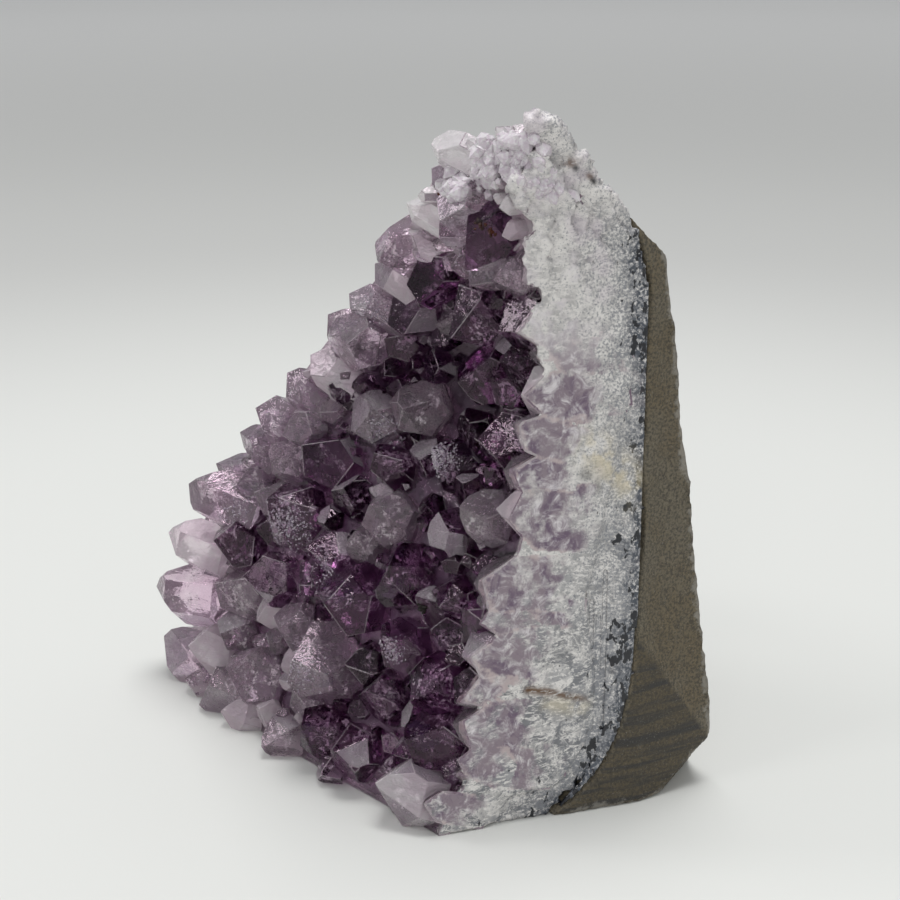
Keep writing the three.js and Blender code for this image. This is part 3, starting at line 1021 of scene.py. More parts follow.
class Recipe:
    """Builds the nodes of one material."""

    def __init__(self, name: str) -> None:
        """Starts an empty material.

        Args:
            name: the material's name.
        """
        self.material = bpy.data.materials.new(name)
        self.material.use_nodes = True
        self.tree = self.material.node_tree
        self.tree.nodes.clear()
        self.place = self.add("ShaderNodeTexCoord").outputs["Object"]

    def add(self, kind: str, inputs: dict | None = None, **settings) -> bpy.types.Node:
        """Adds a node.

        Args:
            kind: the node's type.
            inputs: a number, colour or output socket for each input by name or index.
            **settings: the node's own properties.

        Returns:
            The new node.
        """
        node = self.tree.nodes.new(kind)
        for key, value in settings.items():
            setattr(node, key, value)
        for key, value in (inputs or {}).items():
            self.put(node.inputs[key], value)
        return node

    def put(self, socket: Socket, value: Value) -> None:
        """Links a socket or sets its value.

        Args:
            socket: the socket.
            value: a socket to link, or a number or colour.
        """
        if isinstance(value, Socket):
            self.tree.links.new(value, socket)
        elif isinstance(value, tuple) and len(value) == 3 and socket.type == "RGBA":
            socket.default_value = (*value, 1.0)
        else:
            socket.default_value = value

    def noise(self, scale: float, detail: float = 3.0, rough: float = 0.55, stretch: Triple = (1, 1, 1),
              warp: float = 0.0) -> Socket:
        """Noise over the piece.

        Args:
            scale: waves per metre.
            detail: octaves.
            rough: share of each octave.
            stretch: scale of the pattern along x, y and z.
            warp: distortion of the noise.

        Returns:
            The noise value.
        """
        place = self.add("ShaderNodeMapping", {"Vector": self.place, "Scale": stretch}).outputs[0]
        inputs = {"Vector": place, "Scale": scale, "Detail": detail, "Roughness": rough, "Distortion": warp}
        return self.add("ShaderNodeTexNoise", inputs).outputs["Fac"]

    def borders(self, scale: float) -> Socket:
        """How far a place lies from the nearest border between the cells of a pattern."""
        inputs = {"Vector": self.place, "Scale": scale}
        return self.add("ShaderNodeTexVoronoi", inputs, feature="DISTANCE_TO_EDGE").outputs["Distance"]

    def ramp(self, value: Socket, low: float, high: float, to_low: float = 0.0,
             to_high: float = 1.0) -> Socket:
        """Maps a value from one range onto another, held at both ends."""
        inputs = {"Value": value, "From Min": low, "From Max": high, "To Min": to_low, "To Max": to_high}
        return self.add("ShaderNodeMapRange", inputs, interpolation_type="SMOOTHSTEP").outputs[0]

    def plus(self, a: Value, b: Value) -> Socket:
        """The sum of two values."""
        return self.add("ShaderNodeMath", {0: a, 1: b}, operation="ADD").outputs[0]

    def minus(self, a: Value, b: Value) -> Socket:
        """The difference of two values."""
        return self.add("ShaderNodeMath", {0: a, 1: b}, operation="SUBTRACT").outputs[0]

    def times(self, a: Value, b: Value) -> Socket:
        """The product of two values."""
        return self.add("ShaderNodeMath", {0: a, 1: b}, operation="MULTIPLY").outputs[0]

    def blend(self, share: Value, a: Value, b: Value) -> Socket:
        """A colour between a and b.

        Args:
            share: how much of b there is.
            a: a colour.
            b: a colour.

        Returns:
            The colour.
        """
        node = self.add("ShaderNodeMix", data_type="RGBA")
        self.put(node.inputs[0], share)
        self.put(node.inputs[6], a)
        self.put(node.inputs[7], b)
        return node.outputs[2]

    def read(self, name: str) -> Socket:
        """The number stored on the piece's points under a name."""
        return self.add("ShaderNodeAttribute", attribute_name=name).outputs["Fac"]

    def bump(self, height: Value, strength: Value, depth: float, under: Socket | None = None) -> Socket:
        """Relief of a height pattern.

        Args:
            height: the pattern.
            strength: how much of it shows.
            depth: its height in metres.
            under: the relief that it lies on.

        Returns:
            The normal.
        """
        inputs = {"Height": height, "Strength": strength, "Distance": depth}
        if under is not None:
            inputs["Normal"] = under
        return self.add("ShaderNodeBump", inputs).outputs[0]

    def shader(self, colour: Value, roughness: Value, others: dict | None = None) -> Socket:
        """The shader of a surface, with further inputs by name."""
        inputs = {"Base Color": colour, "Roughness": roughness, **(others or {})}
        return self.add("ShaderNodeBsdfPrincipled", inputs).outputs[0]

    def finish(self, surface: Socket, volume: Socket | None = None) -> bpy.types.Material:
        """Closes the material.

        Args:
            surface: the surface's shader.
            volume: the shader of what lies inside.

        Returns:
            The material.
        """
        inputs = {"Surface": surface}
        if volume is not None:
            inputs["Volume"] = volume
        self.add("ShaderNodeOutputMaterial", inputs)
        return self.material


QUARTZ_IOR = 1.544
SMOKY_VIOLET = (0.63, 0.27, 0.60)
LIGHT_VIOLET = (0.76, 0.38, 0.69)


@dataclass(frozen=True)
class CrystalFinish:
    """Quartz with some violet in it, from clear to milky: glow and density tint what lies behind."""

    name: str
    tint: Triple
    stain: Triple
    clearness: float
    shine: Pair
    density: float
    glow: Triple
    clouds: Pair = (0.42, 0.66)
    broken: float = 0.0
    sheen: Triple = (0.92, 0.72, 0.84)

    def material(self) -> bpy.types.Material:
        """Builds the material.

        Returns:
            The material.
        """
        recipe = Recipe(self.name)
        clouds = recipe.ramp(recipe.noise(160, 3, 0.6, warp=0.6), *self.clouds)
        patches = recipe.ramp(recipe.noise(420, 3, 0.65), 0.45, 0.7)
        growth = recipe.noise(900, 2, 0.6, stretch=(1, 1, 2.5))
        colour = recipe.blend(clouds, self.tint, self.stain)
        gloss = recipe.ramp(patches, 0, 1, self.shine[0], self.shine[1])
        relief = recipe.bump(growth, 0.25, 0.00012)
        relief = recipe.bump(patches, 0.35, 0.00025, relief)
        if self.broken:
            facets = recipe.noise(700, 2, 0.7, stretch=(1, 0.6, 1.4))
            relief = recipe.bump(facets, self.broken, 0.0007, relief)
        body = recipe.shader(colour, gloss, {
            "IOR": QUARTZ_IOR, "Transmission Weight": self.clearness,
            "Normal": relief, "Specular Tint": self.sheen,
        })
        depth = recipe.add("ShaderNodeVolumeAbsorption", {"Color": self.glow, "Density": self.density})
        return recipe.finish(body, depth.outputs[0])


CRYSTAL_FINISHES = {
    Kind.DEEP: CrystalFinish(
        "deep_amethyst", (0.90, 0.73, 0.86), (0.96, 0.89, 0.94), 1.0, (0.0, 0.05), 180, SMOKY_VIOLET
    ),
    Kind.VIOLET: CrystalFinish(
        "violet_amethyst", (0.90, 0.75, 0.86), (0.96, 0.90, 0.93), 1.0, (0.0, 0.08), 104, SMOKY_VIOLET
    ),
    Kind.PALE: CrystalFinish(
        "pale_amethyst", (0.90, 0.76, 0.85), (0.99, 0.93, 0.95), 0.9, (0.0, 0.12), 26, LIGHT_VIOLET,
        broken=0.25,
    ),
    Kind.MILKY: CrystalFinish(
        "milky_quartz", (0.89, 0.76, 0.83), (0.99, 0.93, 0.95), 0.62, (0.02, 0.22), 18, LIGHT_VIOLET,
        broken=0.3,
    ),
    Kind.CLEAR: CrystalFinish(
        "clear_quartz", (0.98, 0.94, 0.95), (1.0, 0.98, 0.97), 0.5, (0.0, 0.18), 4, LIGHT_VIOLET,
        broken=0.5,
    ),
    Kind.SAWN: CrystalFinish(
        "sawn_amethyst", (0.34, 0.25, 0.32), (0.78, 0.71, 0.73), 0.45, (0.12, 0.40), 16, LIGHT_VIOLET,
        clouds=(0.36, 0.60),
    ),
    Kind.FROSTED: CrystalFinish(
        "frosted_amethyst", (0.76, 0.63, 0.73), (0.95, 0.88, 0.92), 0.74, (0.04, 0.26), 45, SMOKY_VIOLET
    ),
    # Pale edges: partly real chipped wear, partly painted highlight.
    Kind.WORN: CrystalFinish(
        "worn_and_highlit_edges", (0.80, 0.67, 0.74), (0.96, 0.90, 0.92), 0.70, (0.15, 0.35), 45, SMOKY_VIOLET
    ),
}


@dataclass(frozen=True)
class VeilFinish:
    """A healed crack or cloud sealed in a crystal: wisps with clear crystal between them."""

    name: str
    colour: Triple
    cover: Pair
    scale: float
    brighter: float = 1.15
    dullness: float = 0.45

    def material(self) -> bpy.types.Material:
        """Builds the material.

        Returns:
            The material.
        """
        recipe = Recipe(self.name)
        fine = recipe.noise(self.scale, 4, 0.7)
        broad = recipe.ramp(recipe.noise(self.scale * 0.22, 2, 0.5), 0.38, 0.62)
        share = recipe.times(recipe.ramp(fine, *self.cover), broad)
        tone = recipe.blend(fine, self.colour, tuple(min(1.0, c * self.brighter) for c in self.colour))
        wisp = recipe.shader(tone, self.dullness)
        gap = recipe.add("ShaderNodeBsdfTransparent")
        whole = recipe.add("ShaderNodeMixShader", {0: share, 1: gap.outputs[0], 2: wisp})
        return recipe.finish(whole.outputs[0])


@dataclass(frozen=True)
class CrustFinish:
    """Massive quartz: crystal sections, white grains, blue-grey chalcedony at the contact, and painted shade
    deep under the crystals.
    """

    white: Triple = (0.83, 0.80, 0.77)
    grey: Triple = (0.48, 0.465, 0.455)
    ash: Triple = (0.14, 0.145, 0.16)
    glass: Triple = (0.30, 0.30, 0.315)
    pepper: Triple = (0.20, 0.21, 0.235)
    chalcedony: Triple = (0.065, 0.075, 0.095)
    speck: Triple = (0.012, 0.013, 0.018)
    core: Triple = (0.27, 0.215, 0.25)
    violet: Triple = (0.15, 0.10, 0.155)
    rim: Triple = (0.60, 0.50, 0.49)
    frost: Triple = (0.88, 0.84, 0.85)
    haze: Triple = (0.56, 0.45, 0.56)
    # The next two colours paint the quartz deep under the crystals: lilac, partly the colour of their roots
    # and partly painted shade, and near black in the hollow, which is painted shade.
    lilac: Triple = (0.34, 0.26, 0.34)
    hollow_painted_shade: Triple = (0.05, 0.028, 0.055)
    rust: Triple = (0.11, 0.045, 0.008)
    cream: Triple = (0.74, 0.64, 0.42)

    def layer(self, recipe: Recipe) -> Socket:
        """Distance from the contact in mm, made wavy, and larger on the roof.

        Args:
            recipe: the material that is being built.

        Returns:
            The distance.
        """
        wander = recipe.ramp(recipe.noise(240, 4, 0.6), 0.3, 0.7, -1.5, 1.5)
        layer = recipe.plus(recipe.read("from_contact"), wander)
        return recipe.plus(layer, recipe.times(recipe.read("roof"), 7.0))

    def grains(self, recipe: Recipe) -> Socket:
        """White and grey quartz, with ash-grey clouds and glassy grains in the lower part.

        Args:
            recipe: the material that is being built.

        Returns:
            The colour.
        """
        clouds = recipe.ramp(recipe.noise(330, 5, 0.65, warp=0.3), 0.36, 0.64)
        white = recipe.blend(clouds, self.grey, self.white)
        low = recipe.read("low")
        ash = recipe.times(low, recipe.ramp(recipe.noise(210, 5, 0.72, warp=0.9), 0.46, 0.56))
        white = recipe.blend(recipe.times(ash, 0.9), white, self.ash)
        glassy = recipe.ramp(recipe.borders(125), 0.05, 0.16)
        glassy = recipe.times(glassy, recipe.ramp(recipe.noise(95, 3, 0.6), 0.46, 0.56))
        glassy = recipe.times(glassy, low)
        white = recipe.blend(recipe.times(glassy, 0.8), white, self.glass)
        streaks = recipe.noise(620, 5, 0.72, stretch=(1, 1, 2.6), warp=0.5)
        return recipe.blend(recipe.ramp(streaks, 0.50, 0.58, 0.0, 0.85), white, self.white)

    def dust(self, recipe: Recipe, body: Socket, layer: Socket) -> Socket:
        """Adds dark dust that thickens towards the contact, and chalcedony with black blots along it.

        Args:
            recipe: the material that is being built.
            body: the colour so far.
            layer: the distance from the contact.

        Returns:
            The colour.
        """
        fine = recipe.minus(recipe.noise(2300, 4, 0.75), recipe.ramp(layer, 0.0, 15.0, 0.45, 0.585))
        body = recipe.blend(recipe.ramp(fine, -0.05, 0.09, 0.0, 0.8), body, self.pepper)
        near = recipe.times(recipe.ramp(layer, 4.0, 0.8), recipe.ramp(recipe.noise(1900, 2, 0.6), 0.40, 0.56))
        body = recipe.blend(near, body, self.chalcedony)
        hint = recipe.ramp(recipe.noise(120, 3, 0.6), 0.45, 0.62, 0.0, 0.3)
        hint = recipe.times(recipe.read("pale_top"), hint)
        body = recipe.blend(recipe.times(hint, recipe.ramp(layer, 5.0, 9.0)), body, self.haze)
        blots = recipe.noise(620, 3, 0.6, stretch=(1, 1, 0.6))
        blots = recipe.minus(blots, recipe.ramp(layer, 0.5, 7.0, 0.55, 0.74))
        blots = recipe.plus(blots, recipe.times(recipe.read("low"), 0.045))
        return recipe.blend(recipe.ramp(blots, 0, 0.03), body, self.speck)

    def quartz(self, recipe: Recipe) -> Socket:
        """The quartz between the crystals and the contact, with its stains.

        Args:
            recipe: the material that is being built.

        Returns:
            The colour.
        """
        body = self.dust(recipe, self.grains(recipe), self.layer(recipe))
        cream = recipe.times(recipe.read("cream"), recipe.ramp(recipe.noise(300, 3, 0.6), 0.35, 0.6))
        body = recipe.blend(recipe.times(cream, 0.6), body, self.cream)
        patchy = recipe.ramp(recipe.noise(900, 3, 0.7, stretch=(1, 0.5, 1.6)), 0.36, 0.5)
        body = recipe.blend(recipe.times(recipe.read("rust"), patchy), body, self.rust)
        return recipe.blend(recipe.read("dark_spot"), body, self.speck)

    def section(self, recipe: Recipe) -> Socket:
        """The inside of a crystal that was cut through.

        Args:
            recipe: the material that is being built.

        Returns:
            The colour.
        """
        ragged = recipe.ramp(recipe.noise(420, 4, 0.65), 0.3, 0.7, -0.16, 0.38)
        inside = recipe.plus(recipe.read("section"), ragged)
        murk = recipe.ramp(recipe.noise(170, 4, 0.62, warp=1.4), 0.44, 0.66)
        crystal = recipe.blend(murk, self.core, self.violet)
        clouds = recipe.ramp(recipe.noise(360, 5, 0.7, warp=0.8), 0.46, 0.72, 0.0, 0.85)
        crystal = recipe.blend(clouds, crystal, self.frost)
        edge = recipe.ramp(inside, 0.0, 0.42, 0.75, 0.0)
        crystal = recipe.blend(edge, crystal, self.rim)
        return recipe.blend(recipe.read("pale_top"), crystal, self.frost)

    def material(self) -> bpy.types.Material:
        """Builds the material.

        Returns:
            The material.
        """
        recipe = Recipe("massive_quartz")
        body = self.quartz(recipe)
        spread = recipe.ramp(recipe.noise(300, 4, 0.6), 0.3, 0.7, -0.45, 0.45)
        spread = recipe.plus(recipe.read("section_fade"), spread)
        spread = recipe.minus(spread, recipe.times(recipe.read("low"), 0.12))
        spread = recipe.minus(spread, recipe.times(recipe.read("pale_top"), 0.9))
        body = recipe.blend(recipe.ramp(spread, 0.25, 1.0), body, self.section(recipe))
        # Painted shade: deep under the crystal face the quartz turns lilac and, in the hollow, near black, as
        # shade between the crystals; the lilac is partly the colour of the crystals' roots.
        inner = recipe.ramp(recipe.read("below_face"), 9.0, 5.0)
        inner = recipe.times(inner, recipe.minus(1.0, recipe.read("is_slice")))
        roots_lilac_and_painted_shade = recipe.blend(recipe.read("in_hollow"), self.lilac, self.hollow_painted_shade)
        roots_lilac_and_painted_shade = recipe.blend(recipe.read("pale_top"), roots_lilac_and_painted_shade, self.frost)
        body = recipe.blend(inner, body, roots_lilac_and_painted_shade)
        relief = recipe.bump(recipe.noise(2400, 2, 0.6), 0.4, 0.00015)
        relief = recipe.bump(recipe.noise(500, 4, 0.65), 0.4, 0.0004, relief)
        gloss = recipe.ramp(recipe.noise(300, 4, 0.6), 0.35, 0.65, 0.28, 0.52)
        return recipe.finish(recipe.shader(body, gloss, {"IOR": 1.54, "Normal": relief}))


@dataclass(frozen=True)
class BasaltFinish:
    """Weathered brown-grey basalt with fine grain and saw marks; the sawn facet below the ridge is painted
    darker, partly as shade, and worn edges are lightened, partly as painted highlight.
    """

    brown: Triple = (0.168, 0.134, 0.082)
    grey: Triple = (0.180, 0.155, 0.110)
    dark: Triple = (0.030, 0.026, 0.019)
    # Colour of the sawn facet below the ridge: darker partly with saw streaks and partly as painted shade.
    sawn: Triple = (0.115, 0.092, 0.056)
    streak: Triple = (0.048, 0.046, 0.044)
    # Pale colour of light grains, and of the worn edges, where it is partly painted highlight.
    chip: Triple = (0.38, 0.36, 0.32)

    def material(self) -> bpy.types.Material:
        """Builds the material.

        Returns:
            The material.
        """
        recipe = Recipe("weathered_basalt")
        broad = recipe.ramp(recipe.noise(75, 5, 0.65), 0.38, 0.62)
        colour = recipe.blend(broad, self.brown, self.grey)
        # Painted shade: the sawn facet below the ridge is painted darker than the face above it, with dark
        # saw streaks across it.
        sawn = recipe.read("sawn")
        lines = recipe.noise(420, 4, 0.65, stretch=(0.12, 0.12, 1.7))
        saw_streaks_and_painted_shade = recipe.blend(recipe.ramp(lines, 0.42, 0.64), self.sawn, self.streak)
        colour = recipe.blend(sawn, colour, saw_streaks_and_painted_shade)
        grain = recipe.noise(2100, 3, 0.65)
        colour = recipe.blend(recipe.ramp(grain, 0.36, 0.62, 0.75, 0.0), colour, self.dark)
        light = recipe.ramp(recipe.noise(3300, 4, 0.7), 0.58, 0.72, 0.0, 0.5)
        colour = recipe.blend(light, colour, self.chip)
        pores = recipe.ramp(recipe.noise(1250, 3, 0.65), 0.63, 0.72)
        colour = recipe.blend(recipe.times(pores, 0.55), colour, self.dark)
        # Painted highlight: convex edges turn pale, partly real wear and partly a highlight along the ridges.
        ragged = recipe.ramp(recipe.noise(500, 4, 0.7), 0.3, 0.7, -0.5, 0.3)
        worn = recipe.plus(recipe.read("edge"), ragged)
        colour = recipe.blend(recipe.ramp(worn, 0.25, 0.75, 0.0, 0.55), colour, self.chip)
        relief = recipe.bump(grain, 0.7, 0.0004)
        relief = recipe.bump(lines, recipe.times(sawn, 0.6), 0.0004, relief)
        relief = recipe.bump(recipe.noise(260, 4, 0.65), 0.5, 0.0008, relief)
        gloss = recipe.ramp(grain, 0.3, 0.7, 0.58, 0.82)
        return recipe.finish(recipe.shader(colour, gloss, {"Normal": relief}))


@dataclass(frozen=True)
class SugarFinish:
    """Tiny bright quartz crystals."""

    white: Triple = (0.88, 0.82, 0.87)
    lilac: Triple = (0.62, 0.52, 0.64)
    clearness: float = 0.45

    def material(self) -> bpy.types.Material:
        """Builds the material.

        Returns:
            The material.
        """
        recipe = Recipe("sugar_quartz")
        colour = recipe.blend(recipe.ramp(recipe.noise(1500, 3, 0.6), 0.4, 0.6), self.lilac, self.white)
        gloss = recipe.ramp(recipe.noise(2600, 2, 0.5), 0.3, 0.7, 0.06, 0.25)
        others = {"IOR": QUARTZ_IOR, "Transmission Weight": self.clearness}
        return recipe.finish(recipe.shader(colour, gloss, others))


@dataclass(frozen=True)
class IronFinish:
    """Iron oxide grown on the quartz, from black to red-brown."""

    dark: Triple = (0.012, 0.008, 0.006)
    rust: Triple = (0.10, 0.022, 0.006)

    def material(self) -> bpy.types.Material:
        """Builds the material.

        Returns:
            The material.
        """
        recipe = Recipe("iron_oxide")
        colour = recipe.blend(recipe.ramp(recipe.noise(260, 4, 0.6), 0.4, 0.6), self.dark, self.rust)
        gloss = recipe.ramp(recipe.noise(1900, 2, 0.6), 0.3, 0.7, 0.3, 0.7)
        relief = recipe.bump(recipe.noise(1500, 3, 0.6), 0.6, 0.0003)
        return recipe.finish(recipe.shader(colour, gloss, {"Normal": relief}))


# ---------------------------------------------------------------- pieces


@dataclass
class AmethystPoints:
    """All the crystals of the face, joined where they touch, with the skin of quartz at their roots."""

    growth: Growth
    shop: Workshop
    skin: float = 1.6
    overlap: float = 0.25
    behind: float = 1.5
    proud: float = 0.05
    recess: float = 0.12
    flat_facing: float = 0.99
    base_tolerance: float = 0.02
    side_tolerance: float = 0.05
    sliver: float = 0.3
    crumbled_above: float = 92.0
    crumble: float = 0.7
    pale_above: float = 92.0
    pale_rim: float = 6.0
    look_seed: int = 5
    rim_fade: float = 17.0
    side_from: Pair = (27.0, 0.05)
    side_fade: float = 8.0
    top_from: Pair = (84.0, 14.0)
    clear_from: float = 97.0
    crystals: list[Crystal] = field(default_factory=list)

    def grow(self) -> None:
        """Lists the crystals and gives each its look."""
        main = self.growth.main_crystals()
        small = self.growth.small_crystals(main)
        dice = Dice(self.look_seed)
        for crystal in main + small:
            crystal.kind = crystal.kind or self.look(crystal, dice)
            if crystal.kind in (Kind.CLEAR, Kind.MILKY) and crystal.tip[2] > self.crumbled_above:
                crystal.half_width *= self.crumble
        point, way = SAWN_SIDE.plane()
        whole = main + small + self.growth.riders(main)
        self.crystals = [c for c in whole if way.dot(Vector(c.foot) - point) < self.sliver * c.half_width]
        LOG.info("crystals: %d main, %d small, %d in all", len(main), len(small), len(self.crystals))

    def paleness(self, x: float, z: float) -> float:
        """How pale the crystals at a place are: more at the rim, the sawn side, the top and the foot.

        Args:
            x: the place across.
            z: its height.

        Returns:
            The paleness, from 0 to 1.
        """
        side_x, side_lean = self.side_from
        top_z, top_fade = self.top_from
        rim = clamp(1 - self.growth.wall.rim_distance(x, z) / self.rim_fade)
        side = 0.75 * clamp((x - side_x - side_lean * z) / self.side_fade)
        top = clamp((z - top_z) / top_fade)
        left_foot = 0.95 * clamp((32 - z) / 12) * clamp((4 - x) / 14)
        right_foot = 0.8 * bell(x - 26, 8) * bell(z - 6, 10)
        return max(rim, side, top, left_foot + right_foot)

    def look(self, crystal: Crystal, dice: Dice) -> Kind:
        """Chooses how violet a crystal is from where it stands.

        Args:
            crystal: the crystal.
            dice: the generator to draw from.

        Returns:
            Its kind.
        """
        x, _, z = crystal.foot
        pale = self.paleness(x, z) + dice.draw(-0.25, 0.25)
        if z > self.clear_from + dice.draw(-3, 3):
            return Kind.CLEAR if dice.draw(0, 1) < 0.65 else Kind.MILKY
        if pale > 0.8:
            return Kind.MILKY if dice.draw(0, 1) < 0.45 else Kind.PALE
        if pale > 0.42:
            return Kind.PALE
        belly = bell(x - 13, 17) * bell(z - 36, 20)
        deep = max(self.growth.wall.hollow(x, z), belly) + dice.draw(-0.3, 0.3) + 0.15
        return Kind.DEEP if deep > 0.42 else Kind.VIOLET

    def build(self) -> bpy.types.Object:
        """Cuts, joins and trims the crystals.

        Returns:
            The finished piece.
        """
        wall, shop, cutter = self.growth.wall, self.shop, CrystalCutter()
        skin = shop.slab(wall.face_y, lambda x, z: wall.face_y(x, z) + self.skin + self.overlap)
        for face in skin.faces:
            x, _, z = face.calc_center_median()
            at_rim = z > self.pale_above or wall.rim_distance(x, z) < self.pale_rim
            face.material_index = (Kind.MILKY if at_rim else Kind.VIOLET).value
        breaks = [shop.waste(c) for c in NATURAL_CUTS]
        piece = shop.combine(shop.thing("amethyst_points", skin), breaks, "DIFFERENCE")
        solids = [shop.thing("crystal", cutter.build(crystal)) for crystal in self.crystals]
        shop.combine(piece, solids, "UNION")
        rear = shop.behind(lambda x, z: wall.contact_y(x, z) - self.behind)
        cuts = [shop.waste(SAWN_BASE, self.proud), shop.waste(SAWN_SIDE, -self.recess)]
        shop.combine(piece, [rear, *cuts, shop.waste(TRIMMED_SIDE)], "DIFFERENCE")
        self.mark_sawn(piece)
        dress(piece, [CRYSTAL_FINISHES[kind].material() for kind in Kind])
        return shop.deliver(piece, "amethyst_crust", "amethyst")

    def mark_sawn(self, piece: bpy.types.Object) -> None:
        """Gives the sawn sections their own finish.

        Args:
            piece: the joined and trimmed crystals, in mm.
        """
        point, way = SAWN_SIDE.plane()
        for polygon in piece.data.polygons:
            low = abs(polygon.center.z + self.proud) < self.base_tolerance
            outer = (point - polygon.center).dot(way) < self.recess + self.side_tolerance
            at_base = low and polygon.normal.z < -self.flat_facing
            at_side = outer and polygon.normal.dot(way) > self.flat_facing
            if at_base or at_side:
                polygon.material_index = Kind.SAWN.value

    def roots(self) -> list[bpy.types.Object]:
        """The crystals again, a little thinner, to sink their roots into the quartz."""
        cutter = CrystalCutter()
        return [self.shop.thing("root", cutter.build(c, self.overlap)) for c in self.crystals]


@dataclass
class Veils:
    """Sheets of cloud and healed cracks sealed in the crystals."""

    shop: Workshop
    points: AmethystPoints
    name: str
    finish: VeilFinish
    seed: int
    count: Pair
    least_host: float = 2.6
    cover: float = 0.18
    squares: int = 9
    size: Pair = (0.5, 1.0)
    drift: float = 0.4
    under_tip: Pair = (0.5, 1.7)
    crumple: tuple[Pair, ...] = ((0.28, 0.35), (0.9, 0.1))
    above_root: float = 1.5
    above_floor: float = 1.0
    behind_slice: float = 0.5

    def build(self) -> bpy.types.Object:
        """Builds all sheets as one piece.

        Returns:
            The finished piece.
        """
        dice, cutter = Dice(self.seed), CrystalCutter()
        # noise_vector is seeded from the clock unless it is given a seed.
        noise.seed_set(self.seed)
        whole = bmesh.new()
        for crystal in self.points.crystals:
            if crystal.half_width < self.least_host:
                continue
            for _ in range(int(dice.draw(*self.count))):
                self.sheet(whole, crystal, cutter, dice)
        piece = self.shop.thing(self.name, whole)
        piece.data.shade_smooth()
        dress(piece, [self.finish.material()])
        return self.shop.deliver(piece, "amethyst_crust", "amethyst")

    def sheet(self, whole: bmesh.types.BMesh, crystal: Crystal, cutter: CrystalCutter, dice: Dice) -> None:
        """Adds one crumpled sheet, cut off inside the faces of its crystal.

        Args:
            whole: the bmesh of all sheets, added to in place.
            crystal: the crystal that the sheet lies in.
            cutter: tells how deep a place lies in a crystal.
            dice: the generator to draw from.
        """
        wide = crystal.half_width
        size = wide * dice.draw(*self.size)
        grid = bmesh.ops.create_grid(whole, x_segments=self.squares, y_segments=self.squares, size=size)
        verts = grid["verts"]
        turn = Matrix.Rotation(dice.draw(0, math.pi), 4, "X") @ Matrix.Rotation(dice.draw(0, math.pi), 4, "Z")
        drift = Vector([dice.draw(-self.drift, self.drift) * wide for _ in range(3)])
        middle = Vector(crystal.tip) - Vector(crystal.axis) * wide * dice.draw(*self.under_tip) + drift
        bmesh.ops.transform(whole, matrix=Matrix.Translation(middle) @ turn, verts=verts)
        for vert in verts:
            for frequency, share in self.crumple:
                vert.co += Vector(noise.noise_vector(vert.co * frequency)) * wide * share
        depth, root = cutter.depth_inside(crystal, np.array([v.co for v in verts]))
        point, normal = SAWN_SIDE.plane()
        outside = [
            v for v, d, r in zip(verts, depth, root)
            if d < self.cover or r < self.above_root or v.co.z < self.above_floor
            or normal.dot(v.co - point) > -SLICE - self.behind_slice
        ]
        bmesh.ops.delete(whole, geom=outside, context="VERTS")


Patch = tuple[Triple, float, int]


@dataclass
class SugarCoat:
    """Tiny crystals that dust some faces of the larger ones, in patches of (middle, radius, count)."""

    shop: Workshop
    name: str = "sugar_coat"
    finish: SugarFinish | IronFinish = SugarFinish()
    patches: tuple[Patch, ...] = (
        ((13.8, -6.5, 59.5), 3.2, 420),
        ((-13.5, -20, 43), 4.6, 330),
        ((0, -26, 21), 4.6, 170),
        ((-3, -20, 38), 3.4, 110),
        ((1, -9, 62), 3.4, 150),
        ((17, -19, 28.5), 2.6, 130),
        ((-3, -10, 83), 4.0, 110),
        ((-31, -19, 41), 4.0, 90),
        ((22, -10, 97), 3.0, 70),
    )
    fall: Triple = (0.42, -0.82, 0.38)
    start: float = 12.0
    lean: float = 0.6
    sunk: float = 0.8
    shaft: float = 0.7
    point: float = 1.9
    size: Pair = (0.06, 0.17)
    seed: int = 91

    def build(self, points: bpy.types.Object) -> bpy.types.Object:
        """Dusts the crystals.

        Args:
            points: the finished crystals, in the frame.

        Returns:
            The finished piece.
        """
        dice = Dice(self.seed)
        mesh = points.data
        tree = BVHTree.FromPolygons([v.co for v in mesh.vertices], [p.vertices[:] for p in mesh.polygons])
        way = Vector(self.fall).normalized()
        verts, faces = [], []
        for middle, radius, count in self.patches:
            for _ in range(count):
                spread = Vector([dice.draw(-1, 1) + dice.draw(-1, 1) for _ in range(3)]) * radius * 0.5
                start = Vector(middle) + spread + way * self.start
                place, normal, _, _ = tree.ray_cast((start + self.shop.shift) * MM, -way)
                size = dice.draw(*self.size)
                lean = Vector([dice.draw(-self.lean, self.lean) for _ in range(3)])
                if place is not None:
                    self.grain(verts, faces, place / MM - self.shop.shift, (normal + lean).normalized(), size)
        mesh = bpy.data.meshes.new(self.name)
        mesh.from_pydata(verts, [], faces)
        piece = self.shop.thing(self.name, mesh)
        dress(piece, [self.finish.material()])
        return self.shop.deliver(piece, "amethyst_crust", "amethyst")

    def grain(self, verts: list, faces: list, place: Vector, axis: Vector, size: float) -> None:
        """Adds one tiny crystal: a short prism with a point, sunk into its host.

        Args:
            verts: the points of the mesh, added to in place.
            faces: its faces, added to in place.
            place: where it stands on its host.
            axis: the way it points.
            size: its half width.
        """
        side = axis.orthogonal().normalized()
        across = axis.cross(side)
        first = len(verts)
        for height in (-self.sunk * size, self.shaft * size):
            for turn in SIXTHS:
                verts.append(place + axis * height + (side * math.cos(turn) + across * math.sin(turn)) * size)
        verts.append(place + axis * size * self.point)
        for k in range(6):
            after = (k + 1) % 6
            faces.append((first + k, first + after, first + 6 + after, first + 6 + k))
            faces.append((first + 6 + k, first + 6 + after, first + 12))
        faces.append(tuple(first + k for k in reversed(range(6))))


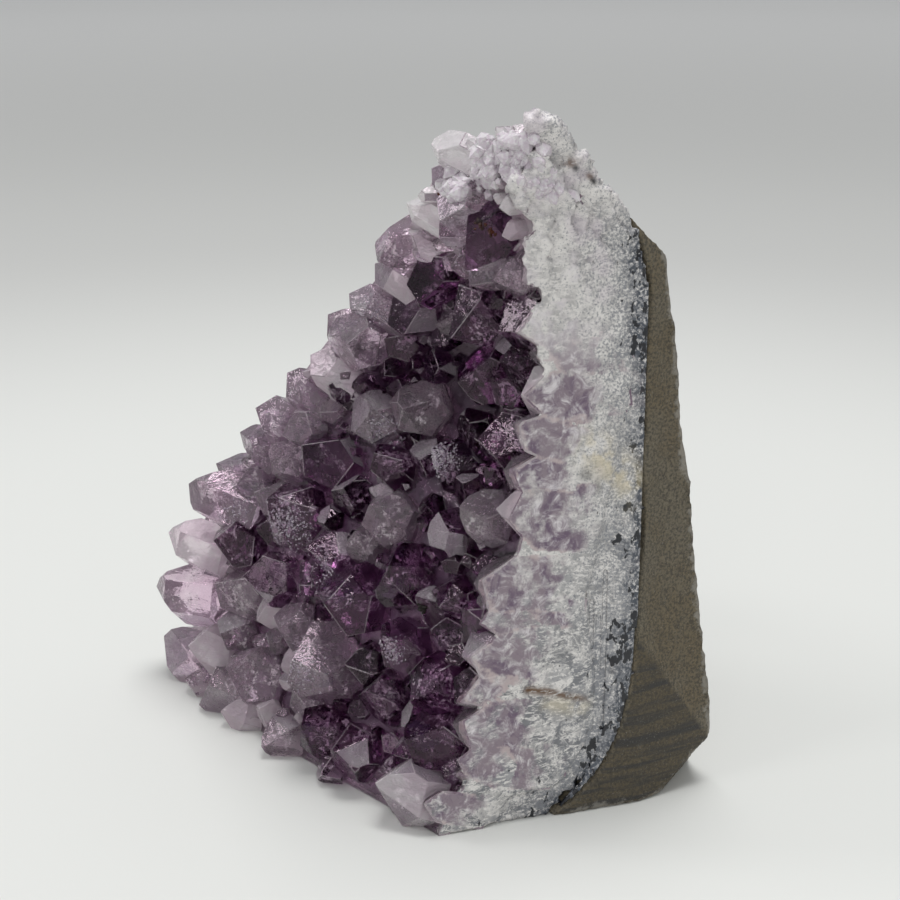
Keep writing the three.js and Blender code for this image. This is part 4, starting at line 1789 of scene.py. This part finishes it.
@dataclass
class QuartzCrust:
    """The massive quartz between the crystals and the basalt."""

    wall: Wall
    shop: Workshop
    points: AmethystPoints
    voxel: float = 0.75
    under_slice: float = 0.2
    grain: tuple[Pair, ...] = ((1.1, 0.5), (2.7, 0.3))
    large_chips: Pair = (4.2, 0.5)
    small_chips: Pair = (1.9, 0.2)

    def build(self) -> bpy.types.Object:
        """Builds the crust with the beds of the crystals sunk into it.

        Returns:
            The finished piece.
        """
        shop, wall = self.shop, self.wall
        body = shop.slab(lambda x, z: wall.face_y(x, z) + self.points.skin, wall.contact_y)
        cuts = [shop.waste(c) for c in (*NATURAL_CUTS, SAWN_BASE, TRIMMED_SIDE)]
        cuts.append(shop.waste(SAWN_SIDE, self.under_slice - SLICE))
        piece = shop.combine(shop.thing("quartz_crust", body), cuts, "DIFFERENCE")
        shop.combine(piece, self.points.roots(), "DIFFERENCE")
        shop.remesh(piece, self.voxel, 3)
        weather(piece, self.relief)
        layers(piece, wall)
        piece.data.shade_smooth()
        dress(piece, [CrustFinish().material()])
        return shop.deliver(piece, "amethyst_crust", "quartz_crust")

    def relief(self, place: Vector, normal: Vector) -> float:
        """Roughness of the broken surfaces; the sawn ones stay nearly flat.

        Args:
            place: the place.
            normal: the way the surface faces there.

        Returns:
            How far the surface is raised, in mm.
        """
        grain = waves(place, self.grain)
        if max(normal.dot(way) for way in SAWN_WAYS) > SAWN_FACING:
            return 0.14 * grain - 0.1
        large, large_height = self.large_chips
        small, small_height = self.small_chips
        return 0.25 * grain + large_height * chips(place, large) + small_height * chips(place, small) - 0.3


@dataclass
class SawnFace:
    """The sawn slice at the side, which shows crystals, quartz and chalcedony in section."""

    wall: Wall
    shop: Workshop
    points: AmethystPoints
    voxel: float = 0.42
    near: float = 16.0
    inset: float = 0.2
    saw_marks: tuple[Pair, ...] = ((1.7, 0.06), (0.5, 0.05))
    broken_from: Pair = (92.0, 12.0)
    large_chips: Pair = (3.6, 0.4)
    small_chips: Pair = (1.7, 0.2)
    swelling: float = 0.7
    border: float = 2.2
    root_fade: float = 4.5

    def build(self) -> bpy.types.Object:
        """Builds the slice.

        Returns:
            The finished piece.
        """
        shop, wall, cutter = self.shop, self.wall, CrystalCutter()
        piece = shop.thing("sawn_face", shop.slab(wall.face_y, wall.contact_y))
        shop.combine(piece, [shop.waste(c) for c in NATURAL_CUTS], "DIFFERENCE")
        solids = [shop.thing("crystal", cutter.build(c, self.inset)) for c in self.cut_crystals()]
        shop.combine(piece, solids, "UNION")
        shop.combine(piece, [shop.behind(wall.contact_y), *map(shop.waste, SAW_CUTS)], "DIFFERENCE")
        inner = Cut(SAWN_SIDE.points, tuple(Vector(SAWN_SIDE.points[0]) + SAWN_SIDE.plane()[1] * 50))
        shop.combine(piece, [shop.waste(inner, SLICE)], "DIFFERENCE")
        shop.remesh(piece, self.voxel, 2)
        self.sections(piece)
        weather(piece, self.relief)
        piece.data.shade_smooth()
        dress(piece, [CrustFinish().material()])
        return shop.deliver(piece, "amethyst_crust", "quartz_crust")

    def cut_crystals(self) -> list[Crystal]:
        """The crystals that the saw went through."""
        point, normal = SAWN_SIDE.plane()
        return [c for c in self.points.crystals if normal.dot(Vector(c.foot) - point) > -self.near]

    def sections(self, piece: bpy.types.Object) -> None:
        """Stores where each point lies in the wall and in the crystals that are cut.

        Args:
            piece: the slice, in mm.
        """
        places = np.array([v.co for v in piece.data.vertices])
        first = np.zeros(len(places))
        second = np.zeros(len(places))
        fade = np.zeros(len(places))
        cutter = CrystalCutter()
        for crystal in self.cut_crystals():
            depth, root = cutter.depth_inside(crystal, places)
            depth = np.maximum(depth, 0)
            best = depth > first
            second = np.where(best, first, np.maximum(second, depth))
            fade = np.where(best, np.clip(root / self.root_fade, 0, 1), fade)
            first = np.where(best, depth, first)
        attribute(piece, "section", list(np.clip((first - second) / self.border, 0, 1)))
        attribute(piece, "is_slice", [1.0] * len(places))
        attribute(piece, "section_fade", list(np.where(first > 0, fade, 0)))
        layers(piece, self.wall)

    def relief(self, place: Vector, normal: Vector) -> float:
        """Fine unevenness that the saw left, and the broken top.

        Args:
            place: the place.
            normal: the way the surface faces there; not used.

        Returns:
            How far the surface is raised, in mm.
        """
        start, fade = self.broken_from
        large, large_height = self.large_chips
        small, small_height = self.small_chips
        broken = large_height * chips(place, large) + small_height * chips(place, small) + self.swelling
        return waves(place, self.saw_marks) + clamp((place.z - start) / fade) * broken


@dataclass
class CrumbledTop(SugarCoat):
    """Bright splinters and small broken crystals that cover the top."""

    name: str = "crumbled_top"
    finish: SugarFinish | IronFinish = SugarFinish((0.99, 0.96, 0.97), (0.86, 0.76, 0.84), 0.35)
    patches: tuple[Patch, ...] = (
        ((20, -8, 107), 3.5, 50),
        ((27, -6, 111), 4.0, 110),
        ((33, -5, 112), 4.0, 120),
        ((37, -3, 109), 2.5, 40),
    )
    size: Pair = (0.4, 1.4)
    seed: int = 29


@dataclass
class IronSpecks(SugarCoat):
    """Small dark grains of iron oxide that sit on a few crystals."""

    name: str = "iron_specks"
    finish: SugarFinish | IronFinish = IronFinish()
    patches: tuple[Patch, ...] = (
        ((27.7, -8.9, 101.7), 1.1, 12),
        ((29.2, -7.9, 101.2), 0.9, 9),
        ((18.6, -13.7, 35.4), 0.9, 26),
        ((15, -9, 106), 1.0, 5),
    )
    size: Pair = (0.16, 0.34)
    seed: int = 47


@dataclass
class BasaltBlock:
    """The basalt that the geode lay in: sawn at the side and base, rough and domed behind."""

    wall: Wall
    shop: Workshop
    voxel: float = 0.7
    least_depth: float = 2.0
    ridge_from: Pair = (12.8, 31.0)
    ridge_slope: float = 1.42
    fine: tuple[Pair, ...] = ((0.9, 0.6), (2.3, 0.4))
    broad: tuple[Pair, ...] = ((0.07, 0.8), (0.33, 0.12))
    groove: Triple = (0.15, 0.15, 2.0)
    lumps: Pair = (0.09, 1.6)
    slabs: Pair = (11.0, 0.16)
    flakes: Pair = (3.5, 0.12)
    pits: Triple = (0.4, 0.34, 2.0)
    chipped: Triple = (0.45, 0.15, 0.35)
    worn_back: float = 0.7

    def above_ridge(self, place: Vector) -> float:
        """How far a place lies above the ridge that bounds the sawn part of the side."""
        return place.z - (self.ridge_from[1] - (place.y - self.ridge_from[0]) * self.ridge_slope)

    def build(self) -> bpy.types.Object:
        """Builds the block.

        Returns:
            The finished piece.
        """
        shop, wall = self.shop, self.wall

        def rear(x: float, z: float) -> float:
            """The back, kept behind the contact."""
            return max(wall.back_y(x, z), wall.contact_y(x, z) + self.least_depth)

        body = shop.slab(wall.contact_y, rear)
        cuts = (*SAW_CUTS, LIFTED_CORNER, BACK_CORNER, LEFT_END, LEFT_FLANK, BASALT_ROOF)
        piece = shop.combine(shop.thing("basalt_block", body), [shop.waste(c) for c in cuts], "DIFFERENCE")
        shop.remesh(piece, self.voxel, 5)
        self.marks(piece)
        weather(piece, self.relief)
        piece.data.shade_smooth()
        dress(piece, [BasaltFinish().material()])
        return shop.deliver(piece, "basalt_matrix", "basalt")

    def marks(self, piece: bpy.types.Object) -> None:
        """Stores where the stone is sawn and where its edges are worn; the finish darkens the first, partly
        as painted shade, and lightens the second, partly as painted highlight.

        Args:
            piece: the block, in mm.
        """
        places = [v.co for v in piece.data.vertices]
        facing = [max(v.vector.dot(way) for way in SAWN_WAYS) for v in piece.data.vertex_normals]
        # The sawn side below the ridge is marked for the finish, which paints it darker: saw streaks and
        # painted shade.
        below = [clamp(0.5 - self.above_ridge(p)) for p in places]
        attribute(piece, "sawn", [b if f > SAWN_FACING else 0.0 for b, f in zip(below, facing)])
        # Convex edges behind the contact are stored for the finish, which lightens them as wear and painted
        # highlight.
        inside = np.array([clamp((p.y - self.wall.contact_y(p.x, p.z) - 2) / 2) for p in places])
        attribute(piece, "edge", list(convexity(piece) * 2.2 * inside))

    def relief(self, place: Vector, normal: Vector) -> float:
        """Roughness of the natural surfaces; the sawn ones keep fine marks.

        Args:
            place: the place.
            normal: the way the surface faces there.

        Returns:
            How far the surface is raised, in mm.
        """
        fine = waves(place, self.fine)
        flat = clamp((max(normal.dot(way) for way in SAWN_WAYS) - 0.8) / 0.15)
        across, inwards, upwards = self.groove
        groove = noise.noise(Vector((place.x * across, place.y * inwards, place.z * upwards)))
        behind = clamp((normal.y - 0.2) / 0.4) * clamp((43 - place.x) / 8)
        broad = waves(place, self.broad) - 0.15
        broad += behind * (self.back_lumps(place) - 0.9)
        frequency, level, depth = self.chipped
        chipped = max(0.0, noise.noise(place * frequency) - level) * clamp(0.97 - flat) * depth
        from_contact = place.y - self.wall.contact_y(place.x, place.z)
        above = self.worn_back * clamp(self.above_ridge(place) / 4) * clamp(from_contact / 4)
        return mix(broad + 0.16 * fine, 0.08 * fine + 0.07 * groove - above, flat) - chipped

    def back_lumps(self, place: Vector) -> float:
        """Lumps, broken slabs and pits of the back.

        Args:
            place: the place.

        Returns:
            The height in mm.
        """
        frequency, level, depth = self.pits
        lumps = waves(place, (self.lumps,))
        for size, height in (self.slabs, self.flakes):
            lumps += height * chips(place, size)
        return lumps - max(0.0, noise.noise(place * frequency) - level) * depth


# ---------------------------------------------------------------- studio


Lamp = tuple[str, Triple, float, float]


@dataclass
class Studio:
    """A pale floor, soft light from above and the camera, in metres; a lamp is (name, place, size, power)."""

    eye: Triple = (0.25493, -0.19805, 0.159)
    turn: Triple = (72.0, 0.0, 51.0)
    lens: float = 75.0
    sensor: float = 36.0
    aim: Triple = (0, 0, 0.05)
    lamps: tuple[Lamp, ...] = (
        ("ceiling", (0.05, 0.1, 1.1), 0.5, 6.9),
        ("window", (-0.75, -0.6, 0.75), 0.3, 1.6),
        ("high_window", (-0.1, -0.8, 0.95), 0.2, 1.0),
        ("fill", (0.8, -0.75, 0.55), 0.5, 1.6),
    )
    sky: Triple = (0.95, 0.97, 1.0)
    sky_strength: float = 0.44
    floor_radius: float = 3.2
    near_floor: Triple = (0.745, 0.75, 0.72)
    # Painted shade: a greyer ring around the stone; painted light: brighter far off, for the fall of light
    # across the backdrop.
    painted_shade_floor: Triple = (0.585, 0.585, 0.565)
    painted_light_floor: Triple = (0.92, 0.915, 0.89)
    painted_shade_reach: Pair = (0.17, 0.46)
    painted_light_reach: Pair = (0.6, 1.6)

    def camera(self) -> None:
        """Sets up the camera."""
        data = bpy.data.cameras.new("camera")
        data.lens = self.lens
        data.sensor_width = self.sensor
        data.clip_start = 0.01
        camera = bpy.data.objects.new("camera", data)
        camera.location = self.eye
        camera.rotation_euler = [math.radians(a) for a in self.turn]
        bpy.context.scene.collection.objects.link(camera)
        bpy.context.scene.camera = camera

    def floor(self) -> None:
        """Lays the floor, pale near the stone, with painted shade in a grey ring around it and painted light
        far off.
        """
        bm = bmesh.new()
        bmesh.ops.create_circle(bm, cap_ends=True, segments=64, radius=self.floor_radius)
        mesh = bpy.data.meshes.new("floor")
        bm.to_mesh(mesh)
        bm.free()
        floor = bpy.data.objects.new("floor", mesh)
        bpy.context.scene.collection.objects.link(floor)
        mesh.materials.append(self.paper())

    def paper(self) -> bpy.types.Material:
        """The floor's material, whose colour changes with the distance from the stone as painted shade and
        painted light.

        Returns:
            The material.
        """
        recipe = Recipe("floor_paper")
        reach = recipe.add("ShaderNodeVectorMath", {0: recipe.place}, operation="LENGTH").outputs["Value"]
        # Painted shade in a ring around the stone, then painted light far off.
        near = recipe.blend(recipe.ramp(reach, *self.painted_shade_reach), self.near_floor, self.painted_shade_floor)
        colour = recipe.blend(recipe.ramp(reach, *self.painted_light_reach), near, self.painted_light_floor)
        return recipe.finish(recipe.shader(colour, 0.65, {"Specular IOR Level": 0.3}))

    def lights(self) -> None:
        """Sets the light of the room and hangs the soft lamps."""
        scene = bpy.context.scene
        scene.world = bpy.data.worlds.new("room")
        scene.world.use_nodes = True
        background = scene.world.node_tree.nodes["Background"]
        background.inputs["Color"].default_value = (*self.sky, 1.0)
        background.inputs["Strength"].default_value = self.sky_strength
        for name, place, size, power in self.lamps:
            data = bpy.data.lights.new(name, "AREA")
            data.shape = "SQUARE"
            data.size = size
            data.energy = power
            lamp = bpy.data.objects.new(name, data)
            lamp.location = place
            way = Vector(self.aim) - Vector(place)
            lamp.rotation_euler = way.to_track_quat("-Z", "Y").to_euler()
            scene.collection.objects.link(lamp)

    def build(self) -> None:
        """Builds the studio."""
        self.camera()
        self.floor()
        self.lights()
        bpy.context.scene.view_settings.view_transform = "Standard"


def main() -> None:
    """Builds the stone from the crystals back to the basalt, then the studio."""
    logging.basicConfig(level=logging.INFO, format="%(name)s %(message)s")
    shop = Workshop()
    growth = Growth()
    points = AmethystPoints(growth, shop)
    points.grow()
    crystals = points.build()
    SugarCoat(shop).build(crystals)
    CrumbledTop(shop).build(crystals)
    IronSpecks(shop).build(crystals)
    white = VeilFinish("white_veil", (0.96, 0.92, 0.94), (0.50, 0.60), 1000)
    smoke = VeilFinish("violet_smoke", (0.05, 0.015, 0.07), (0.40, 0.62), 260)
    Veils(shop, points, "white_veils", white, 21, (1.8, 5.2)).build()
    Veils(shop, points, "violet_smoke", smoke, 22, (0.0, 1.9)).build()
    QuartzCrust(growth.wall, shop, points).build()
    SawnFace(growth.wall, shop, points).build()
    BasaltBlock(growth.wall, shop).build()
    Studio().build()
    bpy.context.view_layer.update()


if __name__ == "__main__":
    main()
